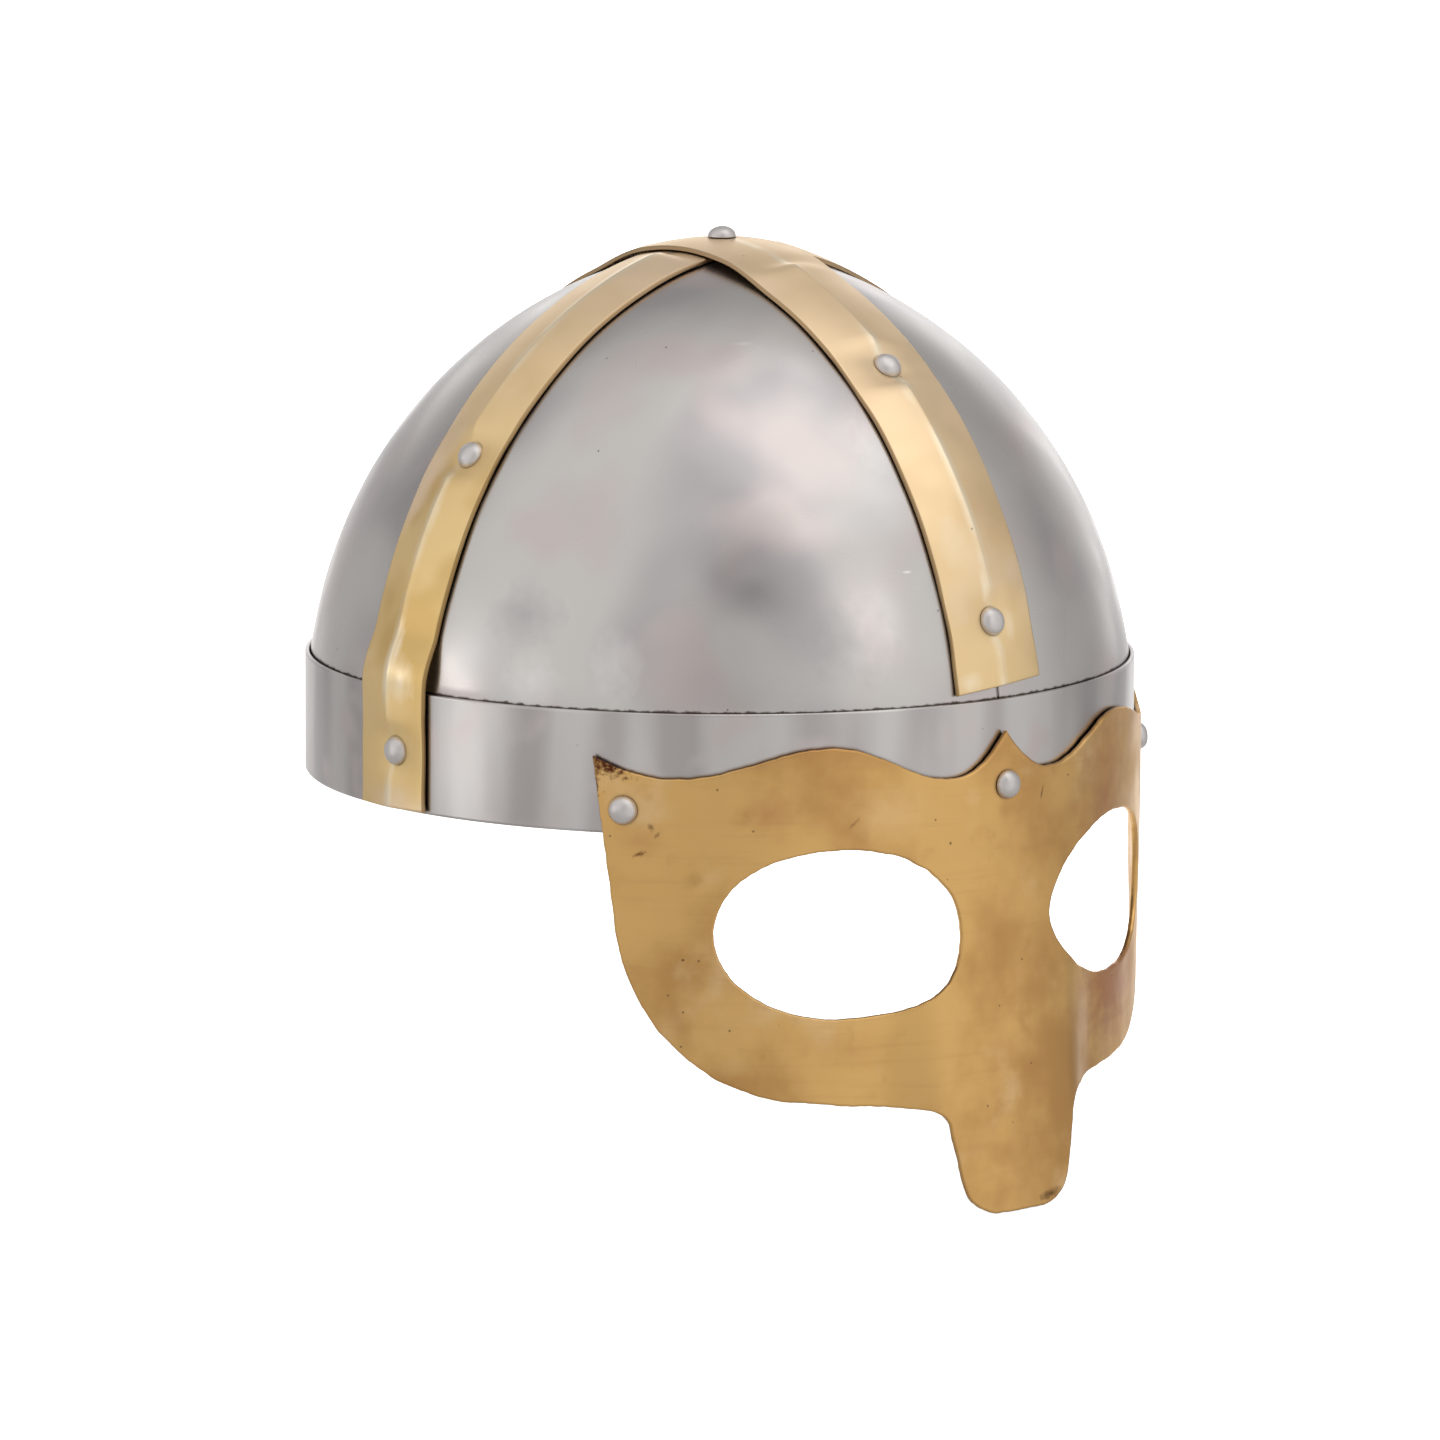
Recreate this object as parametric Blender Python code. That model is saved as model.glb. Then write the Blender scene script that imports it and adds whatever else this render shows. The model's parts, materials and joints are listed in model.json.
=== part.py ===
"""Spangenhelm: steel skull plates under riveted brass bands, a steel brow band and a brass eye mask.

The helmet is modelled upright, with its front towards -Y and the lower rim of the brow band at height 0.
An empty then carries every piece to the way the helmet lies by itself: tipped back on to the tip of its
nasal and the rear of its rim. Lengths are in metres.
"""

import math

import bmesh
import bpy
import numpy as np
from mathutils import Matrix, Vector

# Sheets and clearances
plate_sheet = 0.0012
band_sheet = 0.0012
brow_sheet = 0.0012
mask_sheet = 0.0015
gap = 0.0003                   # clearance between pieces that lie on each other

# Brow band
rim_radius = 0.105
brow_height = 0.030

# Skull: radius = dome_reach * (1 - (height / crown_height) ** dome_rise) ** (1 / dome_round)
crown_height = 0.1316
dome_swell = 0.0005            # how far the skull's curve, carried on, would stand out past the rim
dome_reach = rim_radius + dome_swell
dome_rise = 2.316
dome_round = 1.774
plate_foot = 0.002             # lower edge of the plates, behind the brow band
seam = 0.0006                  # slit between two neighbouring plates

# Bands
side_band_width = 0.024
side_band_shift = 0.0022        # from the plates' seam towards the back
front_band_width = 0.0275
ridge_rise = 0.0022
ridge_fade = 0.55              # share of the ridge that is left at a band's end
side_band_end = 0.0006         # height of the side band's ends above the rim
front_band_end = 0.0330        # height of the front end, above the brow band
front_band_slant = 0.09        # slope of the cut across the front end
back_band_end = 0.0030         # the back end clears what the helmet lies on
step_reach = 0.014             # height over which a band swings out on to the brow band
crossing_margin = 0.0015       # flat stretch of the upper band past the lower band's edges
crossing_swing = 0.020         # length over which the upper band comes down from the crossing

# Rivets
head_radius = 0.0036
head_height = 0.0028
shank_radius = 0.0017
tail_radius = 0.0029
tail_height = 0.0010
flat_round_rivet = 0.0045      # the ridge is hammered flat this far round a rivet
flat_round_crown = 0.0230      # and the upper band's this far round the crown
ridge_return = 0.010           # the ridge is whole again this much further out
upper_rivet_height = 0.6505 * crown_height         # on the sides and the back
front_upper_rivet_height = 0.813 * crown_height
front_lower_rivet_height = 0.368 * crown_height
rim_rivet_height = brow_height / 2
mask_end_rivet_height = 0.0062
mask_middle_rivet_height = 0.0090
mask_end_rivet_inset = 0.0078  # from the mask's end, along its curve

# Eye mask, measured along its curve from the middle of the face
mask_half_width = 0.1087
mask_rise = 0.0223             # middle peak above the rim
cheek_drop = 0.0698
nasal_drop = 0.0965
mask_lean = 0.012              # how far the mask leans in, per length below the rim
nasal_half_width = 0.0163
nasal_corner = 0.0108
throat_half_width = 0.0219
throat_round = 0.0065
cheek_half_width = 0.0976
cheek_round = 0.0500
eye_spacing = 0.0467           # middle of the face to middle of an eye opening
eye_drop = 0.0249
eye_half_width = 0.0318
eye_half_height = 0.0210
nose_rise = 0.0086             # how far the nose stands out at the tip of the nasal
nose_flat = 0.0200
nose_foot = 0.0370
nose_start = 0.0090            # depth below the rim where the nose starts to rise

# Upper edge of one half of the mask, from the middle outwards
# across: share of mask_half_width; height: share of mask_rise; pointed: a cusp and not a round
MASK_TOP = [
    {"across": 0.000, "height": 1.00, "pointed": True},
    {"across": 0.148, "height": 0.53, "pointed": False},
    {"across": 0.455, "height": 0.96, "pointed": False},
    {"across": 0.810, "height": 0.63, "pointed": False},
    {"across": 1.000, "height": 0.86, "pointed": True},
]

# Squareness of each quarter of an eye opening, 2 being an ellipse; the openings are cut by hand
EYES = [
    {"side": -1, "inner_top": 2.0, "outer_top": 2.2, "inner_foot": 2.6, "outer_foot": 1.95},
    {"side": 1, "inner_top": 1.7, "outer_top": 2.2, "inner_foot": 1.6, "outer_foot": 1.8},
]

# How finely round forms are divided
rim_sides = 48
plate_rows = 11
band_step = 0.0095
rivet_sides = 12
eye_sides = 36
mask_rows = 10

plate_radius = rim_radius - brow_sheet - gap      # outside of the plates behind the brow band
mask_radius = rim_radius + gap                    # inside of the mask at the rim
facet = 2 * math.pi / rim_sides


def smooth(value, start, end):
    """Rise from 0 at start to 1 at end, level at both."""
    share = min(max((value - start) / (end - start), 0.0), 1.0)
    return share * share * (3 - 2 * share)


class Meridian:
    """A line down the helmet from the crown: radius and height at each distance run along it."""

    def __init__(self, points):
        self.points = np.array(points)
        steps = np.hypot(*np.diff(self.points, axis=0).T)
        self.runs = np.concatenate(([0.0], np.cumsum(steps)))

    def at(self, run):
        return np.array([np.interp(run, self.runs, column) for column in self.points.T])

    def outward(self, run):
        nudge = 0.0004
        along = self.at(run + nudge) - self.at(run - nudge)
        normal = np.array([-along[1], along[0]]) if run > nudge else np.array([0.0, 1.0])
        return normal / np.hypot(*normal)

    def run_at(self, height):
        return np.interp(-height, -self.points[:, 1], self.runs)

    def radius_at(self, height):
        return np.interp(-height, -self.points[:, 1], self.points[:, 0])


def dome_points(lowest):
    """Outside of the skull from the crown down to a height."""
    lowest_angle = math.asin((lowest / crown_height) ** (dome_rise / 2))
    angles = np.linspace(math.pi / 2, lowest_angle, 400)
    radii = dome_reach * np.maximum(np.cos(angles), 0.0) ** (2 / dome_round)
    heights = crown_height * np.sin(angles) ** (2 / dome_rise)
    return list(zip(radii, heights))


def plate_line():
    points = [(min(radius, plate_radius), height) for radius, height in dome_points(brow_height)]
    return Meridian(points + [(plate_radius, plate_foot)])


def band_line(end_height, over_brow):
    """What a band lies on: the dome and, where it reaches that far, the brow band."""
    if not over_brow:
        return Meridian(dome_points(end_height))
    points = []
    for radius, height in dome_points(brow_height):
        swing = smooth(brow_height + step_reach - height, 0.0, step_reach)
        points.append((radius + (rim_radius - radius) * swing, height))
    return Meridian(points + [(rim_radius, end_height)])


def turned(radial, across, height, angle):
    """A point at a place along and across the direction that an angle from the front gives."""
    sine, cosine = math.sin(angle), math.cos(angle)
    return (radial * sine + across * cosine, -radial * cosine + across * sine, height)


def finish(name, mesh, material, sharp=35):
    """Link a mesh as a named piece with its material."""
    piece = bpy.data.objects.new(name, mesh)
    bpy.context.collection.objects.link(piece)
    mesh.shade_smooth()
    mesh.set_sharp_from_angle(angle=math.radians(sharp))
    mesh.materials.append(material)
    return piece


def mesh_from(name, points, faces):
    mesh = bpy.data.meshes.new(name)
    mesh.from_pydata([tuple(point) for point in points], [], faces)
    shape = bmesh.new()
    shape.from_mesh(mesh)
    bmesh.ops.recalc_face_normals(shape, faces=shape.faces)
    shape.to_mesh(mesh)
    shape.free()
    return mesh


def sheet_mesh(name, outside, inside, closed=False):
    """A closed sheet from two grids of points, one for each face; closed joins its last column to its first."""
    rows, columns = len(outside), len(outside[0])
    points = [point for grid in (outside, inside) for row in grid for point in row]

    def index(face, row, column):
        return (face * rows + row) * columns + column % columns

    faces = []
    for row in range(rows - 1):
        for column in range(columns if closed else columns - 1):
            for face in (0, 1):
                faces.append([index(face, row, column), index(face, row, column + 1),
                              index(face, row + 1, column + 1), index(face, row + 1, column)])
    for column in range(columns if closed else columns - 1):
        for row in (0, rows - 1):
            faces.append([index(0, row, column), index(0, row, column + 1),
                          index(1, row, column + 1), index(1, row, column)])
    if not closed:
        for row in range(rows - 1):
            for column in (0, columns - 1):
                faces.append([index(0, row, column), index(0, row + 1, column),
                              index(1, row + 1, column), index(1, row, column)])
    return mesh_from(name, points, faces)


def skull_plate(name, quarter, material):
    """One quarter of the skull; quarter 0 is the front right, as the wearer has it."""
    line = plate_line()
    crown_hole = shank_radius + gap
    top_run = np.interp(crown_hole, line.points[:, 0], line.runs)
    foot_run = line.run_at(plate_foot)
    brow_run = line.run_at(brow_height)
    runs = list(np.linspace(top_run, brow_run, plate_rows)) + [foot_run]
    start = -math.pi / 2 + quarter * math.pi / 2
    columns = rim_sides // 4
    shares = [0.0] + [(column + 0.5) / columns for column in range(columns)] + [1.0]
    grids = []
    for depth in (0.0, plate_sheet):
        grid = []
        for run in runs:
            radius, height = line.at(run)
            out_radial, out_height = line.outward(run) if run < brow_run - band_step / 2 else (1.0, 0.0)
            radius, height = radius - depth * out_radial, height - depth * out_height
            slit = math.asin(seam / 2 / radius)
            sweep = math.pi / 2 - 2 * slit
            grid.append([turned(radius, 0.0, height, start + slit + sweep * share) for share in shares])
        grids.append(grid)
    return finish(name, sheet_mesh(name, *grids), material)


def brow_band(name, material):
    grids = []
    for radius in (rim_radius, rim_radius - brow_sheet):
        grids.append([[turned(radius, 0.0, height, facet * (side + 0.5)) for side in range(rim_sides)]
                      for height in (0.0, brow_height)])
    return finish(name, sheet_mesh(name, *grids, closed=True), material)


def settle(line, run, across):
    """Radius and height of the line's surface beside the line, measured in along its normal."""
    radius, height = line.at(run)
    out_radial, out_height = line.outward(run)
    near, far = 0.0, abs(across)
    for _ in range(30):
        middle = (near + far) / 2
        outside = math.hypot(across, radius - middle * out_radial)
        if outside > line.radius_at(height - middle * out_height):
            near = middle
        else:
            far = middle
    return radius - near * out_radial, height - near * out_height


class BandHalf:
    """One half of a band, from the crown down one side of the helmet."""

    def __init__(self, angle, end_height, over_brow, rivet_heights, slant=0.0):
        self.angle = angle
        self.line = band_line(end_height - abs(slant) * front_band_width / 2, over_brow)
        self.end = self.line.run_at(end_height)
        self.slant = slant
        self.rivets = [self.line.run_at(height) for height in rivet_heights]

    def stations(self):
        """Distances from the crown at which the band has a section, closer together round the rivets."""
        runs = set(np.linspace(0.0, self.end, round(self.end / band_step) + 1)[1:-1])
        for rivet in self.rivets:
            clear = flat_round_rivet + ridge_return / 2
            runs = {run for run in runs if abs(run - rivet) > clear}
            runs |= {rivet + shift for shift in (-clear, -flat_round_rivet, flat_round_rivet, clear)
                     if rivet + shift < self.end}
        return sorted(runs) + [self.end]


def ridge_at(half, run, flat_crown):
    """Height of the ridge: hammered flat at each rivet and at the crown, and lower at the end."""
    rise = ridge_rise * (1 - (1 - ridge_fade) * smooth(run, half.end * 0.75, half.end))
    rise *= smooth(run, flat_crown, flat_crown + ridge_return)
    for rivet in half.rivets:
        rise *= smooth(abs(run - rivet), flat_round_rivet, flat_round_rivet + ridge_return)
    return rise


def ridged_band(name, halves, width, shift, lift, flat_crown, material):
    """A band over the crown with a ridge along its middle, which lies to one side by the shift."""
    sections = [(halves[1], -run) for run in reversed(halves[1].stations())]
    sections += [(halves[0], 0.0)]
    sections += [(halves[0], run) for run in halves[0].stations()]
    grids = []
    for depth in (band_sheet, 0.0):
        grid = []
        for half, run in sections:
            row = []
            for share in (-1.0, -0.5, 0.0, 0.5, 1.0):
                across = shift + share * width / 2
                distance = abs(run) + half.slant * across * smooth(abs(run), half.end / 2, half.end)
                radial, height = settle(half.line, distance, across)
                out_radial, out_height = half.line.outward(distance)
                rise = gap + lift(distance) + ridge_at(half, distance, flat_crown) * (1 - abs(share)) + depth
                side = 1 if run >= 0 else -1
                row.append(turned(side * (radial + rise * out_radial), across,
                                  height + rise * out_height, halves[0].angle))
            grid.append(row)
        grids.append(grid)
    return finish(name, sheet_mesh(name, *grids), material)


def crossing_lift(distance):
    """Extra height of the upper band where it passes over the lower one at the crown."""
    flat = side_band_width / 2 + side_band_shift + crossing_margin
    return (band_sheet + gap) * (1 - smooth(distance, flat, flat + crossing_swing))


def no_lift(distance):
    return 0.0


def rounded_corner(before, corner, after, radius, segments):
    """Points of an arc of a radius in a corner between two straight edges."""
    corner = np.array(corner)
    back = np.array(before) - corner
    ahead = np.array(after) - corner
    back /= np.hypot(*back)
    ahead /= np.hypot(*ahead)
    half_angle = math.acos(float(back @ ahead)) / 2
    middle = back + ahead
    centre = corner + middle / np.hypot(*middle) * radius / math.sin(half_angle)
    first = corner + back * radius / math.tan(half_angle) - centre
    last = corner + ahead * radius / math.tan(half_angle) - centre
    start = math.atan2(first[1], first[0])
    sweep = (math.atan2(last[1], last[0]) - start + math.pi) % (2 * math.pi) - math.pi
    turns = [start + sweep * step / segments for step in range(segments + 1)]
    return [(centre[0] + radius * math.cos(turn), centre[1] + radius * math.sin(turn)) for turn in turns]


def mask_top_edge(steps=7):
    """Upper edge of one half of the mask, from its end to the middle: rounds and cusps joined smoothly."""
    points = []
    for outer, inner in zip(MASK_TOP[:0:-1], MASK_TOP[-2::-1]):
        for step in range(steps):
            share = step / steps
            if outer["pointed"]:
                weight = 1 - (1 - share) ** 2
            elif inner["pointed"]:
                weight = share ** 2
            else:
                weight = (1 - math.cos(math.pi * share)) / 2
            across = outer["across"] + (inner["across"] - outer["across"]) * share
            height = outer["height"] + (inner["height"] - outer["height"]) * weight
            points.append((across * mask_half_width, height * mask_rise))
    return points


def mask_outline():
    """Outline of the flat mask, anticlockwise from the middle of the nasal's tip."""
    tip_middle = (0.0, -nasal_drop)
    tip = (nasal_half_width, -nasal_drop)
    throat = (throat_half_width, -cheek_drop)
    cheek = (cheek_half_width, -cheek_drop * 0.895)
    end = (mask_half_width, MASK_TOP[-1]["height"] * mask_rise)
    half = rounded_corner(tip_middle, tip, throat, nasal_corner, 4)
    half += rounded_corner(tip, throat, cheek, throat_round, 4)
    half += rounded_corner(throat, cheek, end, cheek_round, 7)
    half += mask_top_edge()
    peak = (0.0, mask_rise)
    return half + [peak] + [(-across, height) for across, height in reversed(half)]


def eye_outline(eye):
    """A rounded opening whose quarters differ a little, as cut by hand."""
    points = []
    for step in range(eye_sides):
        turn = 2 * math.pi * (step + 0.5) / eye_sides
        outer, upper = math.cos(turn) > 0, math.sin(turn) > 0
        square = eye[("outer" if outer else "inner") + ("_top" if upper else "_foot")]
        across = math.copysign(abs(math.cos(turn)) ** (2 / square), math.cos(turn))
        height = math.copysign(abs(math.sin(turn)) ** (2 / square), math.sin(turn))
        points.append((eye["side"] * (eye_spacing + eye_half_width * across),
                       -eye_drop + eye_half_height * height))
    return points


def prism(name, outline, near, far):
    """An upright outline carried through a depth, to cut a flat sheet with."""
    count = len(outline)
    points = [(across, depth, height) for depth in (near, far) for across, height in outline]
    faces = [list(range(count)), list(range(2 * count - 1, count - 1, -1))]
    faces += [[side, (side + 1) % count, count + (side + 1) % count, count + side] for side in range(count)]
    return mesh_from(name, points, faces)


def carved(mesh, cutter_mesh, operation):
    """The mesh that a Boolean leaves, for a sheet that is still flat."""
    blank = bpy.data.objects.new("blank", mesh)
    cutter = bpy.data.objects.new("cutter", cutter_mesh)
    for piece in (blank, cutter):
        bpy.context.collection.objects.link(piece)
    boolean = blank.modifiers.new("cut", "BOOLEAN")
    boolean.object = cutter
    boolean.operation = operation
    evaluated = blank.evaluated_get(bpy.context.evaluated_depsgraph_get())
    result = bpy.data.meshes.new_from_object(evaluated)
    for piece in (blank, cutter):
        bpy.data.objects.remove(piece)
    return result


def nose_share(across, height):
    """How much of the nose's rise a place on the mask has."""
    sideways = 1 - smooth(abs(across), nose_flat, nose_foot)
    down = max((-height - nose_start) / (nasal_drop - nose_start), 0.0)
    return sideways * down


def bent(across, depth, height):
    """A point of the flat mask carried on to the curve of the face."""
    angle = across / (mask_radius + mask_sheet)
    radius = mask_radius + depth + min(height, 0.0) * mask_lean
    forward = nose_rise * nose_share(across, height)
    return (radius * math.sin(angle), -radius * math.cos(angle) - forward, height)


def eye_mask(name, material):
    """The spectacle guard: cut from flat sheet, then bent to the brow band with a raised nose."""
    column = facet / 2 * (mask_radius + mask_sheet)
    reach = math.ceil(mask_half_width / column)
    lines = [column * step for step in range(-reach, reach + 1)]
    middle = (nose_flat + nose_foot) / 2
    lines += [side * across for side in (-1, 1) for across in (nose_flat, middle, nose_foot)]
    lines = sorted(lines)
    foot, top = -nasal_drop - mask_sheet, mask_rise + mask_sheet
    heights = [foot + (top - foot) * row / mask_rows for row in range(mask_rows + 1)]
    faces = [[[(across, depth, height) for across in lines] for height in heights]
             for depth in (mask_sheet, 0.0)]
    flat = sheet_mesh(name, *faces)
    flat = carved(flat, prism("outline", mask_outline(), -mask_sheet, 2 * mask_sheet), "INTERSECT")
    for eye in EYES:
        flat = carved(flat, prism("eye", eye_outline(eye), -mask_sheet, 2 * mask_sheet), "DIFFERENCE")
    shape = bmesh.new()
    shape.from_mesh(flat)
    bmesh.ops.triangulate(shape, faces=shape.faces)
    for vertex in shape.verts:
        vertex.co = bent(*vertex.co)
    bmesh.ops.recalc_face_normals(shape, faces=shape.faces)
    mesh = bpy.data.meshes.new(name)
    shape.to_mesh(mesh)
    shape.free()
    return finish(name, mesh, material)


def lathe_mesh(name, profile):
    """A turned solid about its own Z axis, from radius and height pairs whose ends lie on the axis."""
    points = [(0.0, 0.0, profile[0][1]), (0.0, 0.0, profile[-1][1])]
    for radius, height in profile[1:-1]:
        for side in range(rivet_sides):
            turn = 2 * math.pi * side / rivet_sides
            points.append((radius * math.cos(turn), radius * math.sin(turn), height))
    rings = len(profile) - 2
    faces = []
    for side in range(rivet_sides):
        following = (side + 1) % rivet_sides
        faces.append([0, 2 + side, 2 + following])
        last = 2 + (rings - 1) * rivet_sides
        faces.append([1, last + following, last + side])
        for ring in range(rings - 1):
            upper, lower = 2 + ring * rivet_sides, 2 + (ring + 1) * rivet_sides
            faces.append([upper + side, lower + side, lower + following, upper + following])
    return mesh_from(name, points, faces)


def rivet_profile(stack):
    """A domed head, a shank through the sheets and a tail hammered over inside."""
    head = [(0.0, head_height + gap)]
    for turn in (30, 60, 82):
        angle = math.radians(turn)
        head.append((head_radius * math.sin(angle), gap + head_height * math.cos(angle)))
    inside = -stack - gap
    return head + [(head_radius * 0.97, gap), (shank_radius, gap), (shank_radius, inside), (tail_radius, inside),
                   (tail_radius * 0.8, inside - tail_height), (0.0, inside - tail_height)]


def place_of(angle, radial, height, out_radial, out_height):
    """Where a rivet stands, with its axis along the outward normal of what it holds."""
    out = Vector(turned(out_radial, 0.0, out_height, angle))
    return Matrix.Translation(turned(radial, 0.0, height, angle)) @ out.to_track_quat("Z", "Y").to_matrix().to_4x4()


def band_rivet_place(half, run, lift=0.0):
    """On a band: its outside lies the clearance, the lift and the sheet above the line that it follows."""
    radial, height = half.line.at(run)
    out_radial, out_height = half.line.outward(run)
    rise = gap + lift + band_sheet
    return place_of(half.angle, radial + rise * out_radial, height + rise * out_height, out_radial, out_height)


def mask_rivet_place(across, height):
    x, y, z = bent(across, mask_sheet, height)
    return place_of(math.atan2(x, -y), math.hypot(x, y), z, 1.0, 0.0)


def rivet_table(front, back, right, left):
    """Name, place and thickness of the sheets held for each rivet."""
    skull = plate_sheet + gap + band_sheet
    rim = skull + gap + brow_sheet
    crossing = band_sheet + gap
    face = mask_sheet + gap + brow_sheet + gap + plate_sheet
    end = mask_half_width - mask_end_rivet_inset
    return [
        ("rivet_crown", band_rivet_place(front, 0.0, crossing), skull + crossing),
        ("rivet_front_upper", band_rivet_place(front, front.rivets[0]), skull),
        ("rivet_front_lower", band_rivet_place(front, front.rivets[1]), skull),
        ("rivet_back_upper", band_rivet_place(back, back.rivets[0]), skull),
        ("rivet_back_rim", band_rivet_place(back, back.rivets[1]), rim),
        ("rivet_right_upper", band_rivet_place(right, right.rivets[0]), skull),
        ("rivet_right_rim", band_rivet_place(right, right.rivets[1]), rim),
        ("rivet_left_upper", band_rivet_place(left, left.rivets[0]), skull),
        ("rivet_left_rim", band_rivet_place(left, left.rivets[1]), rim),
        ("rivet_mask_right", mask_rivet_place(-end, mask_end_rivet_height), face),
        ("rivet_mask_middle", mask_rivet_place(0.0, mask_middle_rivet_height), face),
        ("rivet_mask_left", mask_rivet_place(end, mask_end_rivet_height), face),
    ]


def rivet(name, place, stack, material):
    mesh = lathe_mesh(name, rivet_profile(stack))
    mesh.transform(place)
    return finish(name, mesh, material)


def rivet_holes(table):
    """One guide that holds a pin through the sheets at every rivet, wider than the shank by the clearance."""
    shape = bmesh.new()
    for _, place, stack in table:
        length = stack + 2 * tail_height
        middle = (Matrix.Translation((0.0, 0.0, tail_height - length / 2))
                  @ Matrix.Rotation(math.pi / rivet_sides, 4, "Z"))
        bmesh.ops.create_cone(shape, cap_ends=True, segments=rivet_sides, radius1=shank_radius + gap,
                              radius2=shank_radius + gap, depth=length, matrix=place @ middle)
    mesh = bpy.data.meshes.new("rivet_holes")
    shape.to_mesh(mesh)
    shape.free()
    guide = bpy.data.objects.new("rivet_holes", mesh)
    bpy.context.collection.objects.link(guide)
    guide.hide_render = True
    guide.display_type = "WIRE"
    return guide


def rest_turn(pieces):
    """Turn and shift that lay the helmet down: the lowest points of its front and of its back stand level."""
    points = np.array([tuple(vertex.co) for piece in pieces for vertex in piece.data.vertices])

    def lowest(tilt, ahead):
        chosen = points[points[:, 1] < 0] if ahead else points[points[:, 1] >= 0]
        return (chosen[:, 2] * math.cos(tilt) - chosen[:, 1] * math.sin(tilt)).min()

    low, high = 0.0, math.radians(60)
    for _ in range(40):
        tilt = (low + high) / 2
        if lowest(tilt, True) < lowest(tilt, False):
            low = tilt
        else:
            high = tilt
    turn = Matrix.Rotation(-low, 4, "X")
    laid = points @ np.array(turn.to_3x3()).T
    middle = (laid[:, 1].max() + laid[:, 1].min()) / 2
    return Matrix.Translation((0.0, -middle, -laid[:, 2].min())) @ turn


def metal(name, colour, roughness):
    material = bpy.data.materials.new(name)
    material.use_nodes = True
    shader = material.node_tree.nodes["Principled BSDF"]
    shader.inputs["Base Color"].default_value = (*colour, 1.0)
    shader.inputs["Metallic"].default_value = 1.0
    shader.inputs["Roughness"].default_value = roughness
    return material


def build():
    for leftover in list(bpy.data.objects):
        bpy.data.objects.remove(leftover, do_unlink=True)
    steel = metal("satin_mild_steel", (0.50, 0.48, 0.47), 0.34)
    brushed = metal("brushed_mild_steel", (0.54, 0.52, 0.51), 0.38)
    brass = metal("polished_brass", (0.80, 0.56, 0.27), 0.24)
    dull_brass = metal("tarnished_brass", (0.56, 0.36, 0.15), 0.38)
    rivet_steel = metal("rivet_steel", (0.62, 0.62, 0.64), 0.30)

    front = BandHalf(0.0, front_band_end, False, [front_upper_rivet_height, front_lower_rivet_height],
                     -front_band_slant)
    back = BandHalf(math.pi, back_band_end, True, [upper_rivet_height, rim_rivet_height])
    right = BandHalf(-math.pi / 2, side_band_end, True, [upper_rivet_height, rim_rivet_height])
    left = BandHalf(math.pi / 2, side_band_end, True, [upper_rivet_height, rim_rivet_height])

    names = ["skull_plate_front_right", "skull_plate_front_left", "skull_plate_back_left", "skull_plate_back_right"]
    sheets = [skull_plate(name, quarter, steel) for quarter, name in enumerate(names)]
    rim = brow_band("brow_band", brushed)
    mask = eye_mask("eye_mask", dull_brass)
    side_band = ridged_band("side_band", [right, left], side_band_width, -side_band_shift, no_lift,
                            front_band_width / 2 + crossing_margin, brass)
    front_band = ridged_band("front_back_band", [front, back], front_band_width, 0.0, crossing_lift,
                             flat_round_crown, brass)
    sheets += [rim, mask, side_band, front_band]

    table = rivet_table(front, back, right, left)
    pieces = sheets + [rivet(name, place, stack, rivet_steel) for name, place, stack in table]
    guide = rivet_holes(table)
    for piece in sheets:
        holes = piece.modifiers.new("rivet holes", "BOOLEAN")
        holes.object = guide
        holes.operation = "DIFFERENCE"

    resting = bpy.data.objects.new("resting", None)
    bpy.context.collection.objects.link(resting)
    resting.matrix_world = rest_turn(pieces)
    for piece in pieces + [guide]:
        piece.parent = resting


build()
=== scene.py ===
"""A riveted spangenhelm in satin steel and brass, lying by itself on a pale floor.

Every piece is worked out upright, with the front of the helmet towards -Y and the lower rim of the brow
band at height 0, and is then laid down as the frame's helmet lies. Lengths are in metres.
"""

import json
import math

import bmesh
import bpy
import numpy as np
from mathutils import Matrix, Vector, geometry, noise


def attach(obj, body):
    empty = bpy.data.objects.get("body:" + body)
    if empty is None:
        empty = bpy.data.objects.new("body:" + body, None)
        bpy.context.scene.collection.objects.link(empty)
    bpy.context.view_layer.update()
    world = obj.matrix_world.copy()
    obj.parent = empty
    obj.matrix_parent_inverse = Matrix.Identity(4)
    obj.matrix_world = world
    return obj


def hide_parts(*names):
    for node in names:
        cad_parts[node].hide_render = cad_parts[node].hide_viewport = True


bl_info = {
    "name": "Riveted Spangenhelm",
    "version": (1, 0, 0),
    "blender": (4, 5, 0),
    "location": "View3D > Sidebar > Spangenhelm",
    "description": "Builds the plates, bands, mask and rivets of a spangenhelm, and a studio for it",
    "category": "Add Mesh",
}

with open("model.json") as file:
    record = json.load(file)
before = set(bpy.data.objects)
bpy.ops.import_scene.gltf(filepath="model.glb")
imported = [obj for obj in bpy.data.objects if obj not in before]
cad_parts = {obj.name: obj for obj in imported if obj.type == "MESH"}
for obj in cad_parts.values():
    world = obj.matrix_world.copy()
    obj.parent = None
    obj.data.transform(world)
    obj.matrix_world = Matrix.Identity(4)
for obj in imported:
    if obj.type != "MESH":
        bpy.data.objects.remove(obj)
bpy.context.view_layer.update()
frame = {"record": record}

# Skull: radius = reach * (1 - (height / crown_height) ** dome_rise) ** (1 / dome_round)
dome_swell = 0.0005            # how far the skull's curve, carried on, would stand out past the rim
dome_rise = 2.316
dome_round = 1.774
plate_foot = 0.002             # lower edge of the plates, behind the brow band
crown_hole = 0.002             # radius of the hole that the four plates leave at the crown
seam = 0.0006                  # slit between two neighbouring plates
gap = 0.0003                   # clearance between sheets that lie on each other
plate_bend = 0.004             # height over which a plate turns upright behind the brow band

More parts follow.
